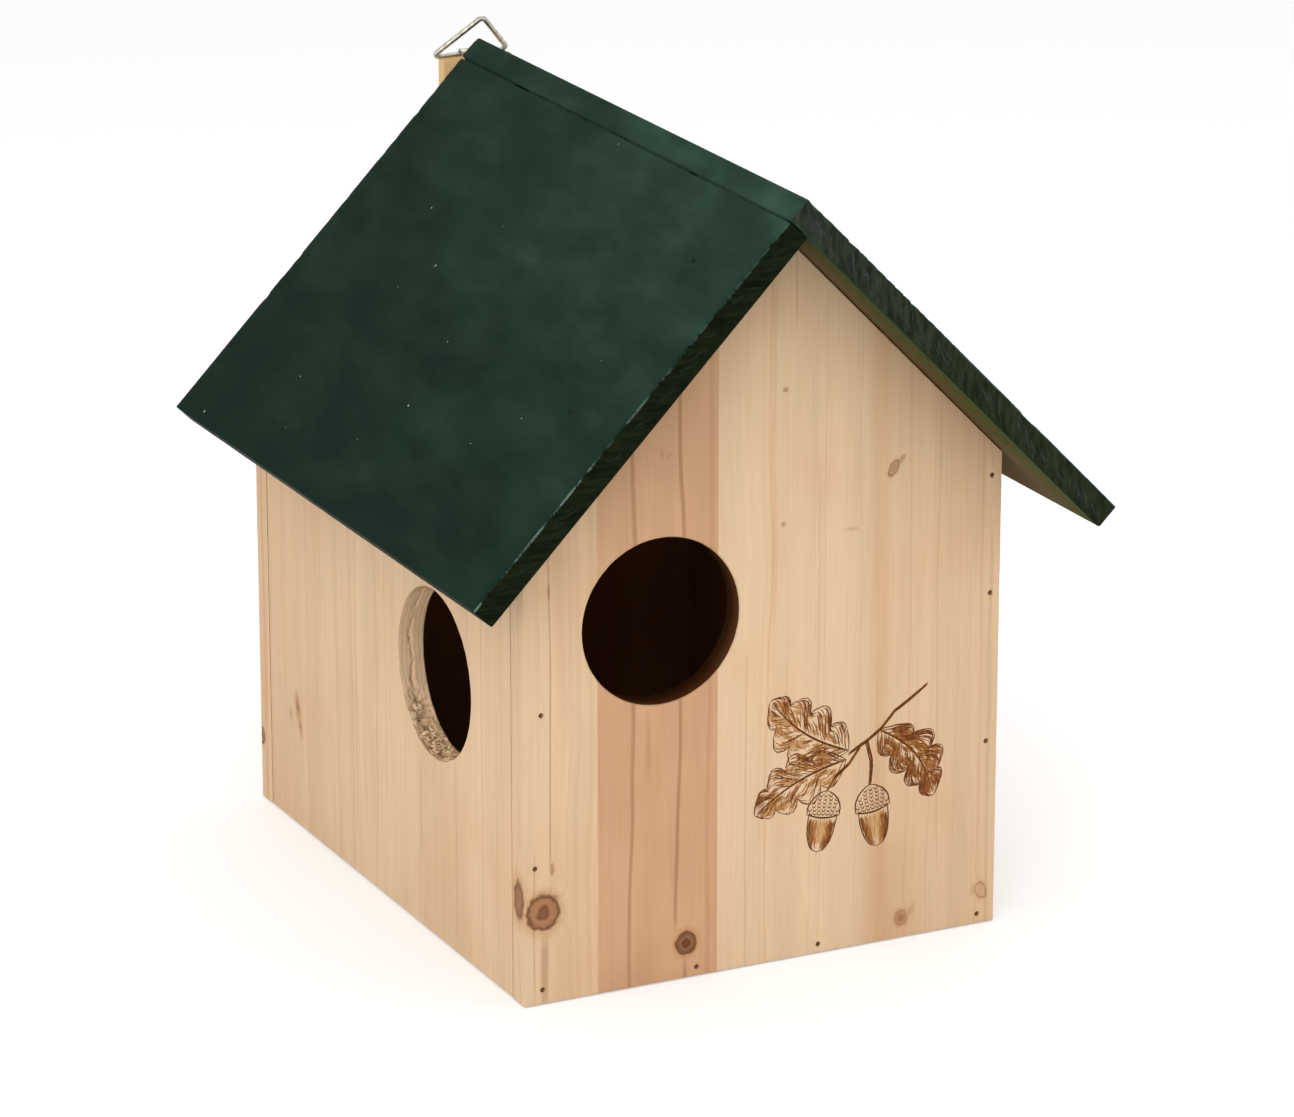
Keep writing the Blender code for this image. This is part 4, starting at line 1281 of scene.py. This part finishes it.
# Splinters the saw left in the lower back of the side entrance, painted paler than the rim as painted light
# where they stick out
splinterLook = {
    "long": 3.6 * mm, "wide": 1.2 * mm, "high": 0.8 * mm, "count": 64, "middle": 284, "spread": 28,
}
chance = random.Random(5)
spots, facings, lies, sizes = [], [], [], []
for splinter in range(splinterLook["count"]):
    turn = radians(splinterLook["middle"] + splinterLook["spread"] * chance.triangular(-1, 1, 0.25))
    out = Vector((0, cos(turn), sin(turn)))
    middle = Vector((-halfBody + chance.uniform(2.0, 8.6) * mm, *sideLook["hole"]["at"]))
    spots.append(middle + out * (sideLook["hole"]["radius"] + chance.uniform(-0.45, 0.35) * mm))
    facings.append(-out)
    lies.append((chance.uniform(-0.8, 0.8), chance.uniform(-0.4, 0.4), 1.0))
    sizes.append(chance.uniform(0.35, 1.0))
splinter = sliver("rimSplinter", splinterLook, 0.5 * mm, 7.0)
writeGrain(splinter, [(-1000, 0.0, 60, 20)], Matrix.Identity(4))
addCopies(
    "rimSplinters", splinter, spots, facings,
    firMaterial("tornFirSplinters", shade=1.5, roughness=0.9, hue="#ebf3f2"), "bare_fir",
    lies=lies, sizes=sizes, Lean=0.55, Turn=1.2, Seed=41)

# Hanging block: a pale offcut with its end grain up
blockLook = {
    "staves": [(-20, 0.05, -6, 30)],
    "knots": [(8.0, 232.0, 1.6, 2.2, 0.5)],
}
blockFir = firMaterial("planedFirBlock", blockLook["knots"], hue="#fff6dc")
screwNodes = ["block_screw_upper", "block_screw_lower"]
sinkLook = {"mouth": 4.6 * mm, "floor": 1.5 * mm, "deep": 3.1 * mm, "sides": 40}
sinkShape = bmesh.new()
for at in map(middleOf, screwNodes):
    bmesh.ops.create_cone(
        sinkShape, cap_ends=True, segments=sinkLook["sides"], radius1=sinkLook["mouth"],
        radius2=sinkLook["floor"], depth=sinkLook["deep"], matrix=Matrix.Translation((at.x, at.z, 0)))
blockMesh = boardMesh(
    "hangingBlock", rectangle(*blockLow.xz, *blockHigh.xz), blockHigh.y - blockLow.y,
    placeMatrix((0, blockHigh.y, 0), xWay, zWay, -yWay), blockLook["staves"],
    [cutterObject("screwSinkCutter", sinkShape)], seed=17.0)
addPiece("hangingBlock", blockMesh, [blockFir], ["hanging_block"])

# Cross-head screws: two countersunk in the block, one pan head on the strap
screwLook = {"crossWide": 0.75 * mm, "crossLong": 3.3 * mm, "crossDeep": 1.1 * mm, "sides": 40}


def screwTemplate(name, profile, top):
    # A turned screw with a cross recess cut in its head
    body = lathe(name, profile, screwLook["sides"])
    recess = bmesh.new()
    size = (screwLook["crossLong"], screwLook["crossWide"], 2 * screwLook["crossDeep"])
    for turn in (0, pi / 2):
        made = bmesh.ops.create_cube(recess, size=1)["verts"]
        bmesh.ops.scale(recess, vec=size, verts=made)
        for v in made:
            if v.co.z < 0:  # the cross narrows downwards
                v.co.x *= 0.35
                v.co.y *= 0.7
        bmesh.ops.rotate(recess, cent=(0, 0, 0), matrix=Matrix.Rotation(turn, 3, "Z"), verts=made)
        bmesh.ops.translate(recess, vec=(0, 0, top), verts=made)
    cutter = cutterObject(name + "Recess", recess)
    mesh = evaluated(name, body, lambda carrier: setattr(cutAway(carrier, cutter), "use_self", True))
    bpy.data.objects.remove(cutter, do_unlink=True)
    return mesh


sunkProfile = [
    (0, -0.15), (1.2, -0.12), (2.5, -0.15), (2.72, -0.30),
    (1.4, -1.75), (1.4, -12.0), (0, -13.6)]
addCopies(
    "blockScrews", screwTemplate("blockScrewTemplate", sunkProfile, -0.1 * mm),
    [(at.x, blockHigh.y, at.z) for at in map(middleOf, screwNodes)], [yWay] * 2, zincPlate,
    "zinc_plated_steel", screwNodes, Lean=0.02, Seed=5)
panProfile = [
    (0, 0), (0.8, -0.06), (1.5, -0.28), (2.05, -0.62), (2.25, -1.05),
    (2.25, -1.42), (1.2, -1.44), (1.2, -6.4), (0, -7.5)]
panAt = middleOf("strap_screw")
addCopies(
    "strapScrew", screwTemplate("strapScrewTemplate", panProfile, 0.0),
    [(panAt.x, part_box("strap_screw")[1].y, panAt.z)], [yWay], zincPlate,
    "zinc_plated_steel", ["strap_screw"], Size=0.98, Seed=8)

# Hanger strap: sheet steel folded round the ring's base wire
strapLook = {"thick": 0.8 * mm, "eye": 1.3 * mm, "steps": 28, "ease": 0.15 * mm, "split": 0.10 * mm}
outer = strapLook["eye"] + strapLook["thick"]
leafBack = 2 * strapLook["thick"] - outer
foldEnd = -acos(leafBack / outer)
leafLow = strapLow.z - hingeAt.z
folds = [pi + (foldEnd - pi) * step / strapLook["steps"] for step in range(strapLook["steps"] + 1)]
turns = [2 * pi * step / strapLook["steps"] for step in range(strapLook["steps"])]
middleX = -outer + strapLook["thick"]
strapOutline = [(-outer, leafLow)] + [(outer * cos(angle), outer * sin(angle)) for angle in folds] + [
    (leafBack, leafLow), (middleX + strapLook["split"], leafLow),
    (middleX + strapLook["split"] / 2, leafLow + 0.6 * mm), (middleX - strapLook["split"], leafLow)]
eyeOutline = [(strapLook["eye"] * cos(angle), strapLook["eye"] * sin(angle)) for angle in turns]
strapCurve = bpy.data.curves.new("strapOutline", "CURVE")
strapCurve.dimensions = "2D"
strapCurve.fill_mode = "BOTH"
strapCurve.extrude = (strapHigh.x - strapLow.x) / 2 - strapLook["ease"]
strapCurve.bevel_depth = strapLook["ease"]
strapCurve.bevel_resolution = 1
strapCurve.offset = -strapLook["ease"]
for corners in (strapOutline, eyeOutline):
    spline = strapCurve.splines.new("POLY")
    spline.points.add(len(corners) - 1)
    for point, (x, y) in zip(spline.points, corners):
        point.co = (x, y, 0, 1)
    spline.use_cyclic_u = True
strapMesh = evaluated("hangerStrap", strapCurve, lambda carrier: None)
welded = bmesh.new()
welded.from_mesh(strapMesh)
bmesh.ops.remove_doubles(welded, verts=welded.verts, dist=0.002 * mm)
strapMesh = plainMesh("hangerStrap", welded)
strapMesh.transform(placeMatrix(hingeAt, yWay, zWay, xWay))
addPiece("hangerStrap", smooth(strapMesh, 30), [zincPlate], ["hanger_strap"])

# Wire ring: one bent wire, its ends meeting in the strap's eye
print("ring")
ringLook = {
    "wire": 2.0 * mm, "base": 31.6 * mm, "high": 20.2 * mm, "bend": 1.7 * mm, "lean": radians(36.0),
    "endGap": 0.6 * mm, "around": 20,
}
ringTree, add, given = newTree("bentWire", [
    ("Wire", "Float", 0.002), ("Bend", "Float", 0.002), ("Around", "Int", 16)])
line = add("GeometryNodeMeshToCurve", given["Geometry"])
bent = add("GeometryNodeFilletCurve", line, 10, given["Bend"], mode="POLY")
section = add("GeometryNodeCurvePrimitiveCircle", given["Around"], add("Math MULTIPLY", given["Wire"], 0.5))
drawn = add("GeometryNodeCurveToMesh", bent, section, {"Fill Caps": True})
endTree(add, drawn, given["Finish"])
halfBase, halfGap, high = ringLook["base"] / 2, ringLook["endGap"] / 2, ringLook["high"]
ringCorners = [(halfGap, 0), (halfBase, 0), (0, high), (-halfBase, 0), (-halfGap, 0)]
leanOver = Matrix.Rotation(ringLook["lean"], 4, "X")
ringLine = bpy.data.meshes.new("ringLine")
ringPlaces = [tuple(hingeAt + leanOver @ Vector((x, 0, z))) for x, z in ringCorners]
ringLine.from_pydata(ringPlaces, [(i, i + 1) for i in range(len(ringPlaces) - 1)], [])
ringMesh = grow("wireRing", ringTree, ringLine, {
    "Wire": ringLook["wire"], "Bend": ringLook["bend"], "Around": ringLook["around"], "Finish": zincPlate})
addPiece("wireRing", smooth(ringMesh, 50), [zincPlate], ["hanger_ring"], body="ring")

for cutter in [o for o in bpy.data.objects if o.name.endswith("Cutter")]:
    bpy.data.objects.remove(cutter, do_unlink=True)

# Camera at the photograph's viewing angle, pale floor, soft even light
print("light")
cameraLook = {
    "place": (-0.8903, -1.8301, 0.7844), "turn": (71.794, -0.006, -26.243), "lens": 164.67, "sensor": 36.0,
}
cameraData = bpy.data.cameras.new("camera")
cameraData.lens = cameraLook["lens"]
cameraData.sensor_width = cameraLook["sensor"]
cameraData.clip_start = 0.05
camera = addObject("camera", cameraData)
camera.location = cameraLook["place"]
camera.rotation_euler = [radians(a) for a in cameraLook["turn"]]
bpy.context.scene.camera = camera

lightLook = {
    "key": {"place": (-0.9, -1.5, 1.5), "size": 1.5, "watts": 12.5},
    "low": {"place": (-1.0, -1.8, 0.30), "size": 1.0, "watts": 3.0},
    "side": {"place": (-1.9, -0.4, 0.8), "size": 1.5, "watts": 9},
    "fill": {"place": (1.5, -1.3, 0.9), "size": 1.6, "watts": 7},
    "top": {"place": (0.1, 0.2, 2.0), "size": 1.6, "watts": 7},
}
lampsAim = (0, 0, 0.13)  # half way up the walls
for name, look in lightLook.items():
    lamp = bpy.data.lights.new(name, "AREA")
    lamp.shape = "DISK"
    lamp.size = look["size"]
    lamp.energy = look["watts"]
    lampObject = addObject(name, lamp)
    lampObject.location = look["place"]
    towards = Vector(look["place"]) - Vector(lampsAim)
    lampObject.rotation_euler = towards.to_track_quat("Z", "Y").to_euler()


def seenRays(add):
    # 1 for rays from the camera, and those that see past the object in a gloss or through glass
    ray = add("LightPath").outputs
    seen = add("Math MAXIMUM", ray["Is Camera Ray"], ray["Is Glossy Ray"])
    return add("Math MAXIMUM", seen, ray["Is Transmission Ray"])


# White wherever the camera or a gloss looks past the object; a plain grey level lights it
skyLevel = 0.62
world = bpy.data.worlds.new("studio")
world.use_nodes = True
bpy.context.scene.world = world
world.node_tree.nodes.clear()
add = nodeAdder(world.node_tree)
seen = seenRays(add)
lit = add("Background", "#ffffff", skyLevel)
add("OutputWorld", add("MixShader", seen, lit, add("Background", "#ffffff", 1.0)))

# Floor: white card. Where no shadow falls it is lifted to the backdrop's white for the camera.
cardLook = {
    "radius": 6.0, "sides": 96, "below": 0.4 * mm, "darkest": 0.8, "palest": 0.84, "lift": 0.3,
    "bounced": (0.72, 0.72, 0.72, 1), "roughness": 0.9,
}
floorCard = bmesh.new()
bmesh.ops.create_circle(floorCard, cap_ends=True, segments=cardLook["sides"], radius=cardLook["radius"])
floorObject = addObject("studioFloor", plainMesh("studioFloor", floorCard))
floorObject.location = (0, 0, -cardLook["below"])
card, add = newMaterial("whiteCard")
seen = seenRays(add)
mottle = add("TexNoise", {"Scale": 3.0, "Detail": 2.0})
tone = add("MapRange", mottle, 0, 1, cardLook["darkest"], cardLook["palest"])
plain = add("BsdfPrincipled", {"Base Color": tone, "Roughness": cardLook["roughness"]})
bright = add("AddShader", plain, add("Emission", "#ffffff", cardLook["lift"]))
bounced = add("BsdfPrincipled", {"Base Color": cardLook["bounced"], "Roughness": cardLook["roughness"]})
add("OutputMaterial", add("MixShader", seen, bounced, bright))
floorObject.data.materials.append(card)
bpy.context.scene.view_settings.view_transform = "Standard"
